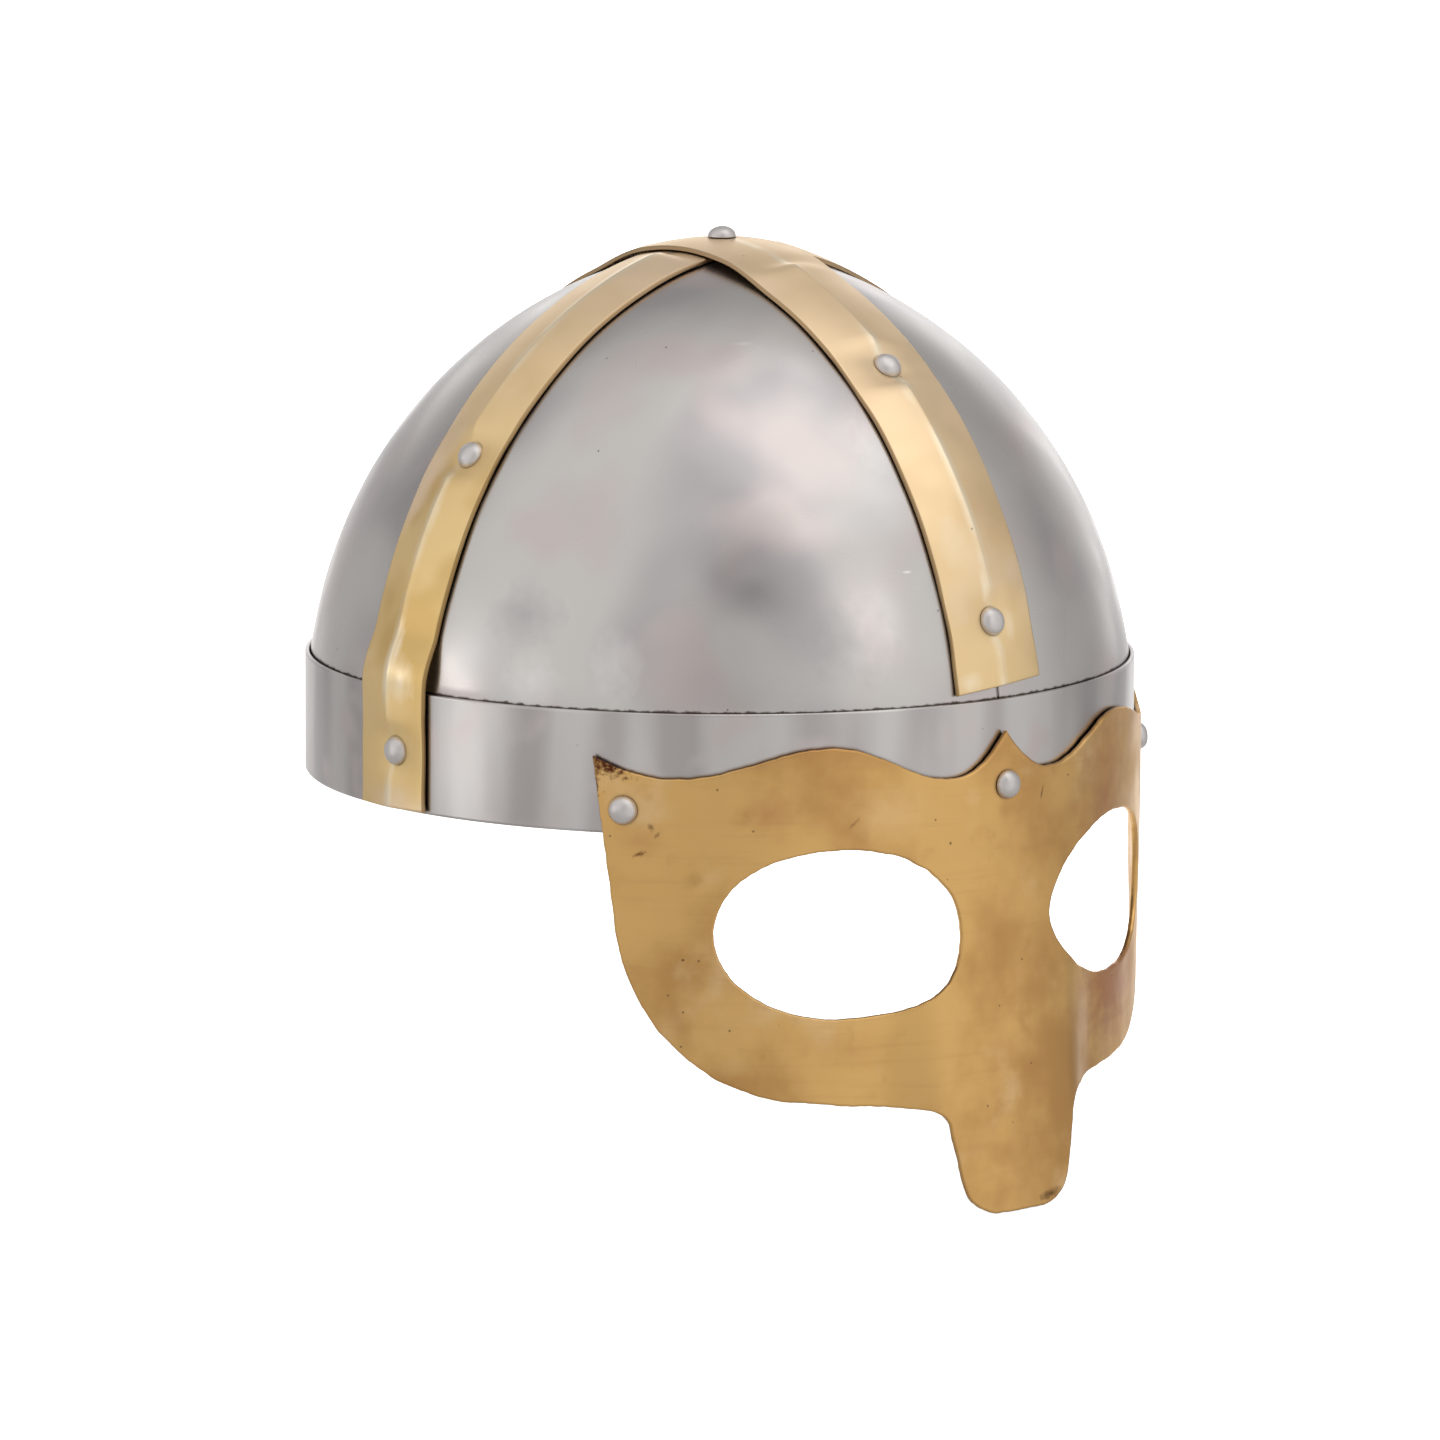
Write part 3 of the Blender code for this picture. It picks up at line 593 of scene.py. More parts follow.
def ridged_band_mesh(size, name, halves, width, shift, lift, flat_crown):
    """A band over the crown with a ridge along its middle, which lies to one side by the shift."""
    runs = bordered(-halves[1].end, halves[0].end, sheet_step)
    half_places = np.concatenate((np.linspace(ridge_round, width / 2 - edge_hold, 6),
                                  [width / 2 - edge_round, width / 2]))
    places = np.concatenate((-half_places[::-1], [0.0], half_places))
    run, place = np.meshgrid(runs, places, indexing="ij")
    share = place / (width / 2)
    # The two cut edges wander, each in its own way
    cut = waves(turned(run, np.sign(place) * 0.1, 0.0, 0.0), cut_lump * 3, cut_wave)
    across = shift + place + cut * abs(share) ** 3
    parts = [half_band(size, halves, first, run, across, share, flat_crown, lift) for first in (True, False)]
    ahead = run >= 0
    radial, height, out_radial, out_height, rise = [np.where(ahead, parts[0][item], parts[1][item])
                                                     for item in range(1, 6)]
    side = np.where(ahead, 1.0, -1.0)
    middle = turned(side * radial, across, height, halves[0].angle)
    worked = np.zeros_like(run)
    for half, ahead_of in ((halves[0], run), (halves[1], -run)):
        for place_hit in [*half.rivets, half.end]:
            worked = np.maximum(worked, 1 - smooth(abs(ahead_of - place_hit), worked_near, worked_reach))
    wave = waves(middle, band_lump, band_wave, 5.0) + worked * waves(middle, worked_lump, worked_wave, 9.0)
    faces = []
    for depth in sheet_depths(run.shape, size.band_sheet):
        out = rise + wave + size.band_sheet - depth
        faces.append(turned(side * (radial + out * out_radial), across, height + out * out_height,
                            halves[0].angle))
    return sheet_mesh(name, *faces, run, place, inward=width / 2 - abs(place))


def crossing_lift(size, distance):
    """Extra height of the upper band where it passes over the lower one at the crown."""
    flat = size.side_band_width / 2 + side_band_shift + crossing_margin
    return (size.band_sheet + gap) * (1 - smooth(distance, flat, flat + crossing_swing))


def no_lift(size, distance):
    return 0.0


def rounded_corner(before, corner, after, radius, segments):
    """Points of an arc of a radius in a corner between two straight edges."""
    corner = np.array(corner)
    back = np.array(before) - corner
    ahead = np.array(after) - corner
    back /= np.hypot(*back)
    ahead /= np.hypot(*ahead)
    half_angle = math.acos(float(back @ ahead)) / 2
    middle = back + ahead
    centre = corner + middle / np.hypot(*middle) * radius / math.sin(half_angle)
    first = corner + back * radius / math.tan(half_angle) - centre
    last = corner + ahead * radius / math.tan(half_angle) - centre
    start = math.atan2(first[1], first[0])
    sweep = (math.atan2(last[1], last[0]) - start + math.pi) % (2 * math.pi) - math.pi
    turns = [start + sweep * step / segments for step in range(segments + 1)]
    return [(centre[0] + radius * math.cos(turn), centre[1] + radius * math.sin(turn)) for turn in turns]


def mask_top_edge(size, steps=14):
    """Upper edge of one half of the mask, from its end to the middle: rounds and cusps joined smoothly."""
    points = []
    for outer, inner in zip(MASK_TOP[:0:-1], MASK_TOP[-2::-1]):
        for step in range(steps):
            share = step / steps
            if outer["pointed"]:
                weight = 1 - (1 - share) ** 2
            elif inner["pointed"]:
                weight = share ** 2
            else:
                weight = (1 - math.cos(math.pi * share)) / 2
            across = outer["across"] + (inner["across"] - outer["across"]) * share
            height = outer["height"] + (inner["height"] - outer["height"]) * weight
            points.append((across * size.mask_half_width, height * size.mask_rise))
    return points


def mask_outline(size):
    """Outline of the flat mask, anticlockwise from the middle of the nasal's tip."""
    tip_middle = (0.0, -size.nasal_drop)
    tip = (nasal_half_width, -size.nasal_drop)
    throat = (throat_half_width, -size.cheek_drop)
    cheek = (cheek_half_width, -size.cheek_drop * cheek_corner_share)
    end = (size.mask_half_width, MASK_TOP[-1]["height"] * size.mask_rise)
    half = rounded_corner(tip_middle, tip, throat, nasal_corner, 10)
    half += rounded_corner(tip, throat, cheek, throat_round, 8)
    half += rounded_corner(throat, cheek, end, cheek_round, 24)
    half += mask_top_edge(size)
    peak = (0.0, size.mask_rise)
    return half + [peak] + [(-across, height) for across, height in reversed(half)]


def eye_outline(size, eye, sides=96):
    """A rounded opening whose quarters differ a little, as cut by hand."""
    turn = 2 * math.pi * (np.arange(sides) + 0.5) / sides
    top = np.where(np.cos(turn) > 0, eye["outer_top"], eye["inner_top"])
    foot = np.where(np.cos(turn) > 0, eye["outer_foot"], eye["inner_foot"])
    square = np.where(np.sin(turn) > 0, top, foot)
    across = np.copysign(abs(np.cos(turn)) ** (2 / square), np.cos(turn))
    reach = np.where(np.sin(turn) > 0, 1.0, eye["foot"])
    height = np.copysign(abs(np.sin(turn)) ** (2 / square), np.sin(turn)) * reach
    return list(zip(eye["side"] * (eye_spacing + size.eye_half_width * across),
                    -eye_drop + size.eye_half_height * height))


def evenly(points, step):
    """A closed line's points again, with more put in so that none lie further apart than a step."""
    filled = []
    for first, last in zip(points, points[1:] + points[:1]):
        count = max(1, math.ceil(math.dist(first, last) / step))
        way = np.array(last) - np.array(first)
        filled += [np.array(first) + way * part / count for part in range(count)]
    return np.array(filled)


def line_normals(points):
    """Unit normals to the left of a closed line at its points."""
    along = np.roll(points, -1, axis=0) - np.roll(points, 1, axis=0)
    normals = np.stack([-along[:, 1], along[:, 0]], axis=1)
    return normals / np.hypot(*normals.T)[:, None]


def hand_cut(points, seed):
    """A closed line with the small unevenness of a hand-cut edge."""
    solid = np.column_stack([points, np.zeros(len(points))])
    wave = waves(solid, cut_lump, cut_wave, seed) + waves(solid, nick_lump, nick_wave, seed + 3.0)
    return points + line_normals(points) * wave[:, None]


def inside_line(places, line):
    """Which places lie inside a closed line."""
    first, last = line, np.roll(line, -1, axis=0)
    x, y = places[:, :1], places[:, 1:]
    spans = (first[:, 1] > y) != (last[:, 1] > y)
    rise = last[:, 1] - first[:, 1]
    cross = first[:, 0] + (y - first[:, 1]) * (last[:, 0] - first[:, 0]) / np.where(rise == 0, 1.0, rise)
    return (spans & (x < cross)).sum(axis=1) % 2 == 1


def flat_mask(size):
    """The flat mask as triangles, with its cut lines: places, triangles, and each line with its inset."""
    lines = [hand_cut(evenly(mask_outline(size), mask_step * 0.7), 1.0)]
    for eye in EYES:
        outline = eye_outline(size, eye)
        line = hand_cut(evenly(outline, mask_step * 0.7), 2.0)
        lines.append(line if eye["side"] < 0 else line[::-1])
    insets = []
    holds = []
    for number, line in enumerate(lines):
        inward = line_normals(line) * (1.0 if number == 0 else -1.0)
        if number > 0 and inside_line(line[:1] + inward[:1] * edge_round, line)[0]:
            inward = -inward
        insets.append(line + inward * edge_round)
        holds.append(line + inward * edge_hold)
    reach = np.arange(-size.mask_half_width, size.mask_half_width, mask_step)
    heights = np.arange(-size.nasal_drop, size.mask_rise, mask_step)
    grid = np.stack(np.meshgrid(reach, heights, indexing="ij"), axis=-1).reshape(-1, 2)
    inner = np.concatenate([*holds, grid])
    every = np.concatenate(insets)
    nearest = np.array([np.hypot(*(every - place).T).min() for place in inner])
    keep = nearest > edge_hold * 0.5
    keep[sum(len(hold) for hold in holds):] &= nearest[sum(len(hold) for hold in holds):] > mask_step * 0.6
    places = np.concatenate([every, inner[keep]])
    edges = []
    start = 0
    for inset in insets:
        edges += [(start + place, start + (place + 1) % len(inset)) for place in range(len(inset))]
        start += len(inset)
    found = geometry.delaunay_2d_cdt([Vector(place) for place in places], edges, [], 0, 1e-9)
    places = np.array([tuple(place) for place in found[0]])
    triangles = np.array([face for face in found[2] if len(face) == 3])
    middles = places[triangles].mean(axis=1)
    solid = inside_line(middles, insets[0])
    for inset in insets[1:]:
        solid &= ~inside_line(middles, inset)
    used, triangles = np.unique(triangles[solid], return_inverse=True)
    return places[used], triangles.reshape(-1, 3), lines, insets


def nose_share(size, across, height):
    """How much of the nose's rise a place on the mask has."""
    sideways = 1 - smooth(abs(across), nose_flat, nose_foot)
    return sideways * np.maximum((-height - nose_start) / (size.nasal_drop - nose_start), 0.0)


def bent(size, across, depth, height):
    """Points of the flat mask carried on to the curve of the face."""
    mask_radius = size.rim_radius + gap
    angle = across / (mask_radius + size.mask_sheet)
    radius = mask_radius + size.mask_sheet - depth + np.minimum(height, 0.0) * mask_lean
    points = turned(radius, 0.0, height, angle)
    points[..., 1] -= size.nose_rise * nose_share(size, across, height)
    return points


def eye_mask_mesh(size, name):
    """The spectacle guard: cut from flat sheet with rounded edges, then bent, with a raised nose."""
    places, triangles, lines, insets = flat_mask(size)
    count = len(places)
    flat = [(place, 0.0) for place in places] + [(place, size.mask_sheet) for place in places]
    faces = [list(face) for face in triangles]
    faces += [[count + corner for corner in face[::-1]] for face in triangles]
    for line, inset in zip(lines, insets):
        rim = [int(np.hypot(*(places - place).T).argmin()) for place in inset]
        start = len(flat)
        flat += [(place, edge_round) for place in line]
        flat += [(place, size.mask_sheet - edge_round) for place in line]
        total = len(line)
        for side in range(total):
            after = (side + 1) % total
            faces.append([rim[side], rim[after], start + after, start + side])
            faces.append([start + side, start + after, start + total + after, start + total + side])
            faces.append([start + total + side, start + total + after, count + rim[after], count + rim[side]])
    across, height = np.array([place for place, _ in flat]).T
    depth = np.array([item[1] for item in flat])
    points = bent(size, across, depth, height)
    out = turned(1.0, 0.0, 0.0, across / size.rim_radius)
    wave = waves(bent(size, across, 0.0, height), mask_lump, mask_wave, 11.0)
    free = smooth(-height, -size.mask_rise, free_depth)
    points += out * (wave * free)[:, None]
    mesh = mesh_from(name, points, faces)
    mark_places(mesh, np.column_stack([across, height]))
    return mesh


def rivet_profile(size, stack):
    """A domed head, a shank through the sheets and a tail hammered over inside."""
    head = [(0.0, size.head_height)]
    for turn in range(8, 89, 8):
        angle = math.radians(turn)
        head.append((size.head_radius * math.sin(angle), size.head_height * math.cos(angle) ** 0.9))
    inside = -stack - gap / 2
    under_head = [(size.head_radius, 0.00032), (size.head_radius * 0.97, 0.00022),
                  (size.head_radius * 0.8, 0.00005)]
    shank = [(shank_radius, 0.00005), (shank_radius, inside)]
    tail = [(tail_radius * 0.97, inside), (tail_radius, inside - tail_height * 0.3),
            (tail_radius * 0.8, inside - tail_height * 0.9), (tail_radius * 0.5, inside - tail_height),
            (0.0, inside - tail_height)]
    return head + under_head + shank + tail


def rivet_mesh(size, name, stack, seed):
    """A turned rivet about the Z axis, with a head that the hammer left uneven."""
    profile = np.array(rivet_profile(size, stack))
    turn = 2 * math.pi * np.arange(rivet_sides) / rivet_sides
    radius, height = profile[1:-1, :1], profile[1:-1, 1:]
    rings = np.stack(np.broadcast_arrays(radius * np.cos(turn), radius * np.sin(turn), height), axis=-1)
    points = np.concatenate([[(0.0, 0.0, profile[0][1]), (0.0, 0.0, profile[-1][1])], rings.reshape(-1, 3)])
    dents = waves(points, size.head_radius * 0.9, size.head_height * 0.07, seed)
    points[:, 2] += np.where(points[:, 2] > 0.0003, dents, 0.0)
    faces = []
    last = 2 + (len(rings) - 1) * rivet_sides
    for side in range(rivet_sides):
        following = (side + 1) % rivet_sides
        faces.append([0, 2 + side, 2 + following])
        faces.append([1, last + following, last + side])
        for ring in range(len(rings) - 1):
            upper, lower = 2 + ring * rivet_sides, 2 + (ring + 1) * rivet_sides
            faces.append([upper + side, lower + side, lower + following, upper + following])
    return mesh_from(name, points, faces)


def place_of(point, out):
    """Where a rivet stands, with its axis along the outward normal of what it holds."""
    return Matrix.Translation(Vector(point)) @ Vector(out).to_track_quat("Z", "Y").to_matrix().to_4x4()


def band_rivet_place(size, half, run, lift=0.0):
    """On a band: its outside lies the clearance, the lift and the sheet above the line that it follows."""
    radial, height = half.line.at(run)
    out_radial, out_height = half.line.outward(run)
    rise = gap + lift + size.band_sheet - (dimple_depth if lift == 0.0 else 0.0)
    return place_of(turned(radial + rise * out_radial, 0.0, height + rise * out_height, half.angle),
                    turned(out_radial, 0.0, out_height, half.angle))


def mask_rivet_place(size, across, height):
    point = bent(size, np.array(across), 0.0, np.array(height))
    return place_of(point, (point[0], point[1], 0.0))


def rivet_table(size):
    """Node, place and thickness of the sheets held for each rivet."""
    front, back, right, left = band_halves(size)
    skull = size.steel_sheet + gap + size.band_sheet
    rim = skull + gap + size.steel_sheet
    crossing = size.band_sheet + gap
    face = size.mask_sheet + 2 * gap + 2 * size.steel_sheet
    end = size.mask_half_width - mask_end_rivet_inset
    return [
        ("rivet_crown", band_rivet_place(size, front, 0.0, crossing), skull + crossing),
        ("rivet_front_upper", band_rivet_place(size, front, front.rivets[0]), skull),
        ("rivet_front_lower", band_rivet_place(size, front, front.rivets[1]), skull),
        ("rivet_back_upper", band_rivet_place(size, back, back.rivets[0]), skull),
        ("rivet_back_rim", band_rivet_place(size, back, back.rivets[1]), rim),
        ("rivet_right_upper", band_rivet_place(size, right, right.rivets[0]), skull),
        ("rivet_right_rim", band_rivet_place(size, right, right.rivets[1]), rim),
        ("rivet_left_upper", band_rivet_place(size, left, left.rivets[0]), skull),
        ("rivet_left_rim", band_rivet_place(size, left, left.rivets[1]), rim),
        ("rivet_mask_right", mask_rivet_place(size, -end, mask_end_rivet_height), face),
        ("rivet_mask_middle", mask_rivet_place(size, 0.0, mask_middle_rivet_height), face),
        ("rivet_mask_left", mask_rivet_place(size, end, mask_end_rivet_height), face),
    ]


def add_node(tree, kind, inputs=None, **settings):
    """Add a node, set its settings and fill its inputs with values or with links from other nodes."""
    node = tree.nodes.new(kind)
    for name, value in settings.items():
        setattr(node, name, value)
    for socket, value in (inputs or {}).items():
        if isinstance(value, bpy.types.NodeSocket):
            tree.links.new(value, node.inputs[socket])
        else:
            node.inputs[socket].default_value = value
    return node


def bare_metal(name, roughness):
    """A new material of bare metal: its node tree and its shader."""
    material = bpy.data.materials.new(name)
    material.use_nodes = True
    shader = material.node_tree.nodes["Principled BSDF"]
    shader.inputs["Metallic"].default_value = 1.0
    shader.inputs["Roughness"].default_value = roughness
    return material, material.node_tree, shader


def stained(tree, metal, stains):
    """The colour of bare metal with stains laid over it in turn, each a share and a shade."""
    for share, shade in stains:
        mix = add_node(tree, "ShaderNodeMix", {0: share, 6: metal, 7: (*shade, 1.0)}, data_type="RGBA")
        metal = mix.outputs[2]
    return metal


def occlusion_shade_and_grime(tree, reach, strength):
    """Painted shade with grime: a share, from ambient occlusion, that darkens the colour in the corners
    beside rivets and under edges, within a reach.
    """
    open_share = add_node(tree, "ShaderNodeAmbientOcclusion", {"Distance": reach}, samples=6).outputs["AO"]
    return add_node(tree, "ShaderNodeMapRange", {"Value": open_share, "From Min": 0.85, "From Max": 0.35,
                                                 "To Max": strength}).outputs[0]


def patches(tree, place, size, low, high, detail=3.0):
    """Soft patches of a size in metres: 0 where the noise lies below low, 1 where it lies above high."""
    clouds = add_node(tree, "ShaderNodeTexNoise", {"Vector": place, "Scale": 1 / size, "Detail": detail})
    share = add_node(tree, "ShaderNodeMapRange", {"Value": clouds.outputs["Fac"], "From Min": low,
                                                  "From Max": high}, interpolation_type="SMOOTHSTEP")
    return share.outputs[0]


def specks(tree, place, spacing, width, strength):
    """Dots of a width, about a spacing apart."""
    cells = add_node(tree, "ShaderNodeTexVoronoi", {"Vector": place, "Scale": 1 / spacing})
    reach = width / 2 / spacing
    return add_node(tree, "ShaderNodeMapRange", {"Value": cells.outputs["Distance"], "From Min": reach * 1.3,
                                                 "From Max": reach * 0.7, "To Max": strength}).outputs[0]


def away_from(tree, place, spot):
    """Distance from the middle of an oval spot, 1 being its edge."""
    over = add_node(tree, "ShaderNodeMapping", {"Vector": place, "Location": (*spot["at"], 0.0),
                                                "Rotation": (0.0, 0.0, math.radians(spot.get("turn", 0))),
                                                "Scale": (*spot["reach"], 1.0)}, vector_type="TEXTURE")
    return add_node(tree, "ShaderNodeVectorMath", {0: over.outputs[0]}, operation="LENGTH").outputs["Value"]


def mark_share(tree, place, mark):
    """A soft-edged, slightly ragged mark at a place on a sheet."""
    raggedness = mark.get("ragged", 1.0)
    ragged = add_node(tree, "ShaderNodeTexNoise", {"Vector": place, "Scale": 1 / mark.get("grain", 0.004),
                                                   "Detail": 4.0})
    distance = add_node(tree, "ShaderNodeMath", {0: ragged.outputs["Fac"], 1: raggedness,
                                                 2: away_from(tree, place, mark)}, operation="MULTIPLY_ADD")
    start = 1.0 + raggedness / 2
    return add_node(tree, "ShaderNodeMapRange", {"Value": distance.outputs[0], "From Min": start,
                                                 "From Max": start - mark.get("edge", 0.8),
                                                 "To Max": mark["strength"]}).outputs[0]


def uneven_finish(tree, place, size, detail, low, high):
    """A roughness that changes from low to high in patches of a size."""
    share = patches(tree, place, size, 0.3, 0.7, detail)
    return add_node(tree, "ShaderNodeMapRange", {"Value": share, "To Min": low, "To Max": high}).outputs[0]


def tool_marks(tree, shader, place, scale, strength, depth):
    """Fine relief that brushing, polishing or hammering leaves."""
    marks = add_node(tree, "ShaderNodeTexNoise", {"Vector": place, "Scale": scale, "Detail": 2.0})
    bump = add_node(tree, "ShaderNodeBump", {"Height": marks.outputs["Fac"], "Strength": strength,
                                             "Distance": depth})
    tree.links.new(bump.outputs[0], shader.inputs["Normal"])


def surface_places(tree):
    """A point's place on its sheet, and its place on the lying helmet."""
    on_sheet = add_node(tree, "ShaderNodeAttribute", attribute_name="sheet_place").outputs["Vector"]
    return on_sheet, add_node(tree, "ShaderNodeTexCoord").outputs["Object"]


def satin_mild_steel(colours, brow_run):
    """Mild steel, hammered and then satin-polished: soft grey clouds, dull patches, pale patches of painted
    highlight, pits, and painted shade in corners.
    """
    material, tree, shader = bare_metal("satin_polished_mild_steel", 0.28)
    place, solid = surface_places(tree)
    # Grime caught in a line where the plates go behind the brow band
    run = add_node(tree, "ShaderNodeSeparateXYZ", {0: place}).outputs[0]
    caught = add_node(tree, "ShaderNodeTexNoise", {"Vector": solid, "Scale": 1 / 0.0022, "Detail": 3.0})
    ragged = add_node(tree, "ShaderNodeMath", {0: caught.outputs["Fac"], 1: 0.0016, 2: run},
                      operation="MULTIPLY_ADD")
    line = add_node(tree, "ShaderNodeMapRange", {"Value": ragged.outputs[0], "From Min": brow_run + 0.0003,
                                                 "From Max": brow_run + 0.0007, "To Max": 0.85})
    shades = {"dull": colours.skull_steel_dull, "pale": colours.skull_steel_pale_highlight, "pit": colours.grime_and_shade}
    tint = stained(tree, (*colours.skull_steel, 1.0), [
        (patches(tree, solid, 0.035, 0.40, 0.72, 1.0), colours.skull_steel_dark),
        # Handling leaves faintly warmer patches about 25 mm wide
        (patches(tree, solid, 0.025, 0.45, 0.70, 1.5), colours.skull_steel_warm),
        # The pale marks are painted highlights
        *[(mark_share(tree, place, mark), shades[mark["shade"]]) for mark in PLATE_MARKS],
        (specks(tree, solid, 0.014, 0.0006, 0.5), colours.grime_and_shade),
        (line.outputs[0], colours.grime_and_shade),
        # Painted shade from ambient occlusion, with grime, beside the bands' edges and the rivets
        (occlusion_shade_and_grime(tree, 0.0008, 0.5), colours.grime_and_shade),
    ])
    tree.links.new(tint, shader.inputs["Base Color"])
    tree.links.new(uneven_finish(tree, solid, 0.018, 1.0, 0.23, 0.32), shader.inputs["Roughness"])
    return material


def brushed_mild_steel(colours):
    """Mild steel strip brushed up and down: pale, with soft upright bands and fine brush lines."""
    material, tree, shader = bare_metal("brushed_mild_steel", 0.28)
    place, solid = surface_places(tree)
    upright = add_node(tree, "ShaderNodeMapping", {"Vector": place, "Scale": (1.0, 0.16, 1.0)}).outputs[0]
    tint = stained(tree, (*colours.brow_steel, 1.0), [
        (patches(tree, upright, 0.020, 0.42, 0.62, 1.5), colours.brow_steel_dark),
        (patches(tree, solid, 0.016, 0.50, 0.72, 1.5), colours.skull_steel_warm),
        (specks(tree, solid, 0.011, 0.0006, 0.5), colours.grime_and_shade),
        # Painted shade from ambient occlusion, with grime, under the bands and beside the rivets
        (occlusion_shade_and_grime(tree, 0.0012, 0.8), colours.grime_and_shade),
    ])
    tree.links.new(tint, shader.inputs["Base Color"])
    # Brush lines 0.5 mm apart and 15 mm long, coarser than the real ones so that they show
    lines = add_node(tree, "ShaderNodeMapping", {"Vector": place, "Scale": (1 / 0.0005, 1 / 0.015, 1.0)})
    tool_marks(tree, shader, lines.outputs[0], 1.0, 0.04, 0.0002)
    return material


def polished_brass(colours, band, marks, pale_reach):
    """Brass strip polished along its length: soft gold, with a painted highlight and wear along the ridge,
    painted highlights in places, and dark cut edges that also paint the shade along the band's edge.
    """
    material, tree, shader = bare_metal("polished_brass_" + band, 0.38)
    place, solid = surface_places(tree)
    parts = add_node(tree, "ShaderNodeSeparateXYZ", {0: place})
    from_ridge = add_node(tree, "ShaderNodeMath", {0: parts.outputs[1]}, operation="ABSOLUTE")
    # Painted highlight along the ridge, partly wear: paler, glossier brass near the ridge
    ridge_sheen_and_wear = add_node(tree, "ShaderNodeMapRange", {"Value": from_ridge.outputs[0], "From Min": 0.0021,
                                                 "From Max": 0.0003, "To Max": 0.75})
    in_places = patches(tree, solid, 0.020, 0.35, 0.60)
    highlight_and_wear = add_node(tree, "ShaderNodeMath", {0: ridge_sheen_and_wear.outputs[0], 1: in_places},
                      operation="MULTIPLY").outputs[0]
    # Painted highlights at the band's listed places
    for mark in marks:
        highlight_and_wear = add_node(tree, "ShaderNodeMath", {0: highlight_and_wear, 1: mark_share(tree, place, mark)},
                          operation="MAXIMUM").outputs[0]
    # The brass is paler near the crown
    from_crown = add_node(tree, "ShaderNodeMath", {0: parts.outputs[0]}, operation="ABSOLUTE")
    handled = add_node(tree, "ShaderNodeMapRange", {"Value": from_crown.outputs[0], "From Min": pale_reach,
                                                    "From Max": pale_reach * 0.4, "To Max": 0.75})
    # Dark cut edges: dull cut brass, and painted shade for the shadow line along the band's edge
    cut = add_node(tree, "ShaderNodeMapRange", {"Value": parts.outputs[2], "From Min": 0.00045,
                                                "From Max": 0.00015, "To Max": 0.70})
    tint = stained(tree, (*colours.band_brass, 1.0), [
        (patches(tree, solid, 0.022, 0.42, 0.70, 2.0), colours.band_brass_dark),
        (handled.outputs[0], colours.band_brass_pale),
        (patches(tree, solid, 0.040, 0.54, 0.68, 3.0), colours.band_brass_pale),
        # Painted highlights and wear, in paler brass
        (highlight_and_wear, colours.band_brass_highlight_and_wear),
        (specks(tree, solid, 0.012, 0.0006, 0.5), colours.grime_and_shade),
        (cut.outputs[0], colours.cut_brass_and_shade),
        # Painted shade from ambient occlusion, with grime, under the edges and beside the rivets
        (occlusion_shade_and_grime(tree, 0.0008, 0.8), colours.grime_and_shade),
    ])
    tree.links.new(tint, shader.inputs["Base Color"])
    finish = uneven_finish(tree, solid, 0.014, 2.0, 0.37, 0.45)
    rough = add_node(tree, "ShaderNodeMapRange", {"Value": highlight_and_wear, "To Min": finish, "To Max": 0.26})
    tree.links.new(rough.outputs[0], shader.inputs["Roughness"])
    # Polishing lines 0.5 mm apart and 30 mm long, coarser than the real ones so that they show
    lines = add_node(tree, "ShaderNodeMapping", {"Vector": place, "Scale": (1 / 0.030, 1 / 0.0005, 1.0)})
    tool_marks(tree, shader, lines.outputs[0], 1.0, 0.04, 0.0002)
    return material


def tarnished_brass(colours):
    """Brass sheet left to dull: browner clouds, handling marks, scorched corners and dark specks."""
    material, tree, shader = bare_metal("tarnished_brass", 0.36)
    place, solid = surface_places(tree)
    # The sheet's rolling left faint streaks along it, 2 mm apart and 30 mm long
    along = add_node(tree, "ShaderNodeMapping", {"Vector": place, "Scale": (0.07, 1.0, 1.0)}).outputs[0]
    streaks = add_node(tree, "ShaderNodeMath", {0: patches(tree, along, 0.002, 0.50, 0.80), 1: 0.25},
                       operation="MULTIPLY")
    shades = {"scorch": colours.scorch, "dark": colours.grime_and_shade, "brown": colours.mask_brass_dark,
              "pale": colours.mask_brass_pale, "red": colours.mask_brass_red}
    tint = stained(tree, (*colours.mask_brass, 1.0), [
        (patches(tree, solid, 0.030, 0.40, 0.68, 6.0), colours.mask_brass_dark),
        (patches(tree, solid, 0.017, 0.54, 0.82, 6.0), colours.mask_brass_pale),
        (patches(tree, solid, 0.009, 0.58, 0.90, 6.0), colours.mask_brass_dark),
        (streaks.outputs[0], colours.mask_brass_dark),
        *[(mark_share(tree, place, mark), shades[mark["shade"]]) for mark in MASK_MARKS],
        (specks(tree, solid, 0.007, 0.0006, 0.6), colours.grime_and_shade),
        # Painted shade from ambient occlusion, with grime, beside the rivets and the edges
        (occlusion_shade_and_grime(tree, 0.0010, 0.9), colours.grime_and_shade),
    ])
    tree.links.new(tint, shader.inputs["Base Color"])
    tree.links.new(uneven_finish(tree, solid, 0.012, 5.0, 0.30, 0.42), shader.inputs["Roughness"])
    return material


def satin_rivet_steel(colours):
    """Soft steel rivets with hammered heads: pale satin, a little mottled."""
    material, tree, shader = bare_metal("satin_rivet_steel", 0.42)
    shader.inputs["Base Color"].default_value = (*colours.rivet_steel, 1.0)
    solid = add_node(tree, "ShaderNodeTexCoord").outputs["Object"]
    # Hammer marks about 1.2 mm wide
    tool_marks(tree, shader, solid, 1 / 0.0012, 0.25, 0.0003)
    return material


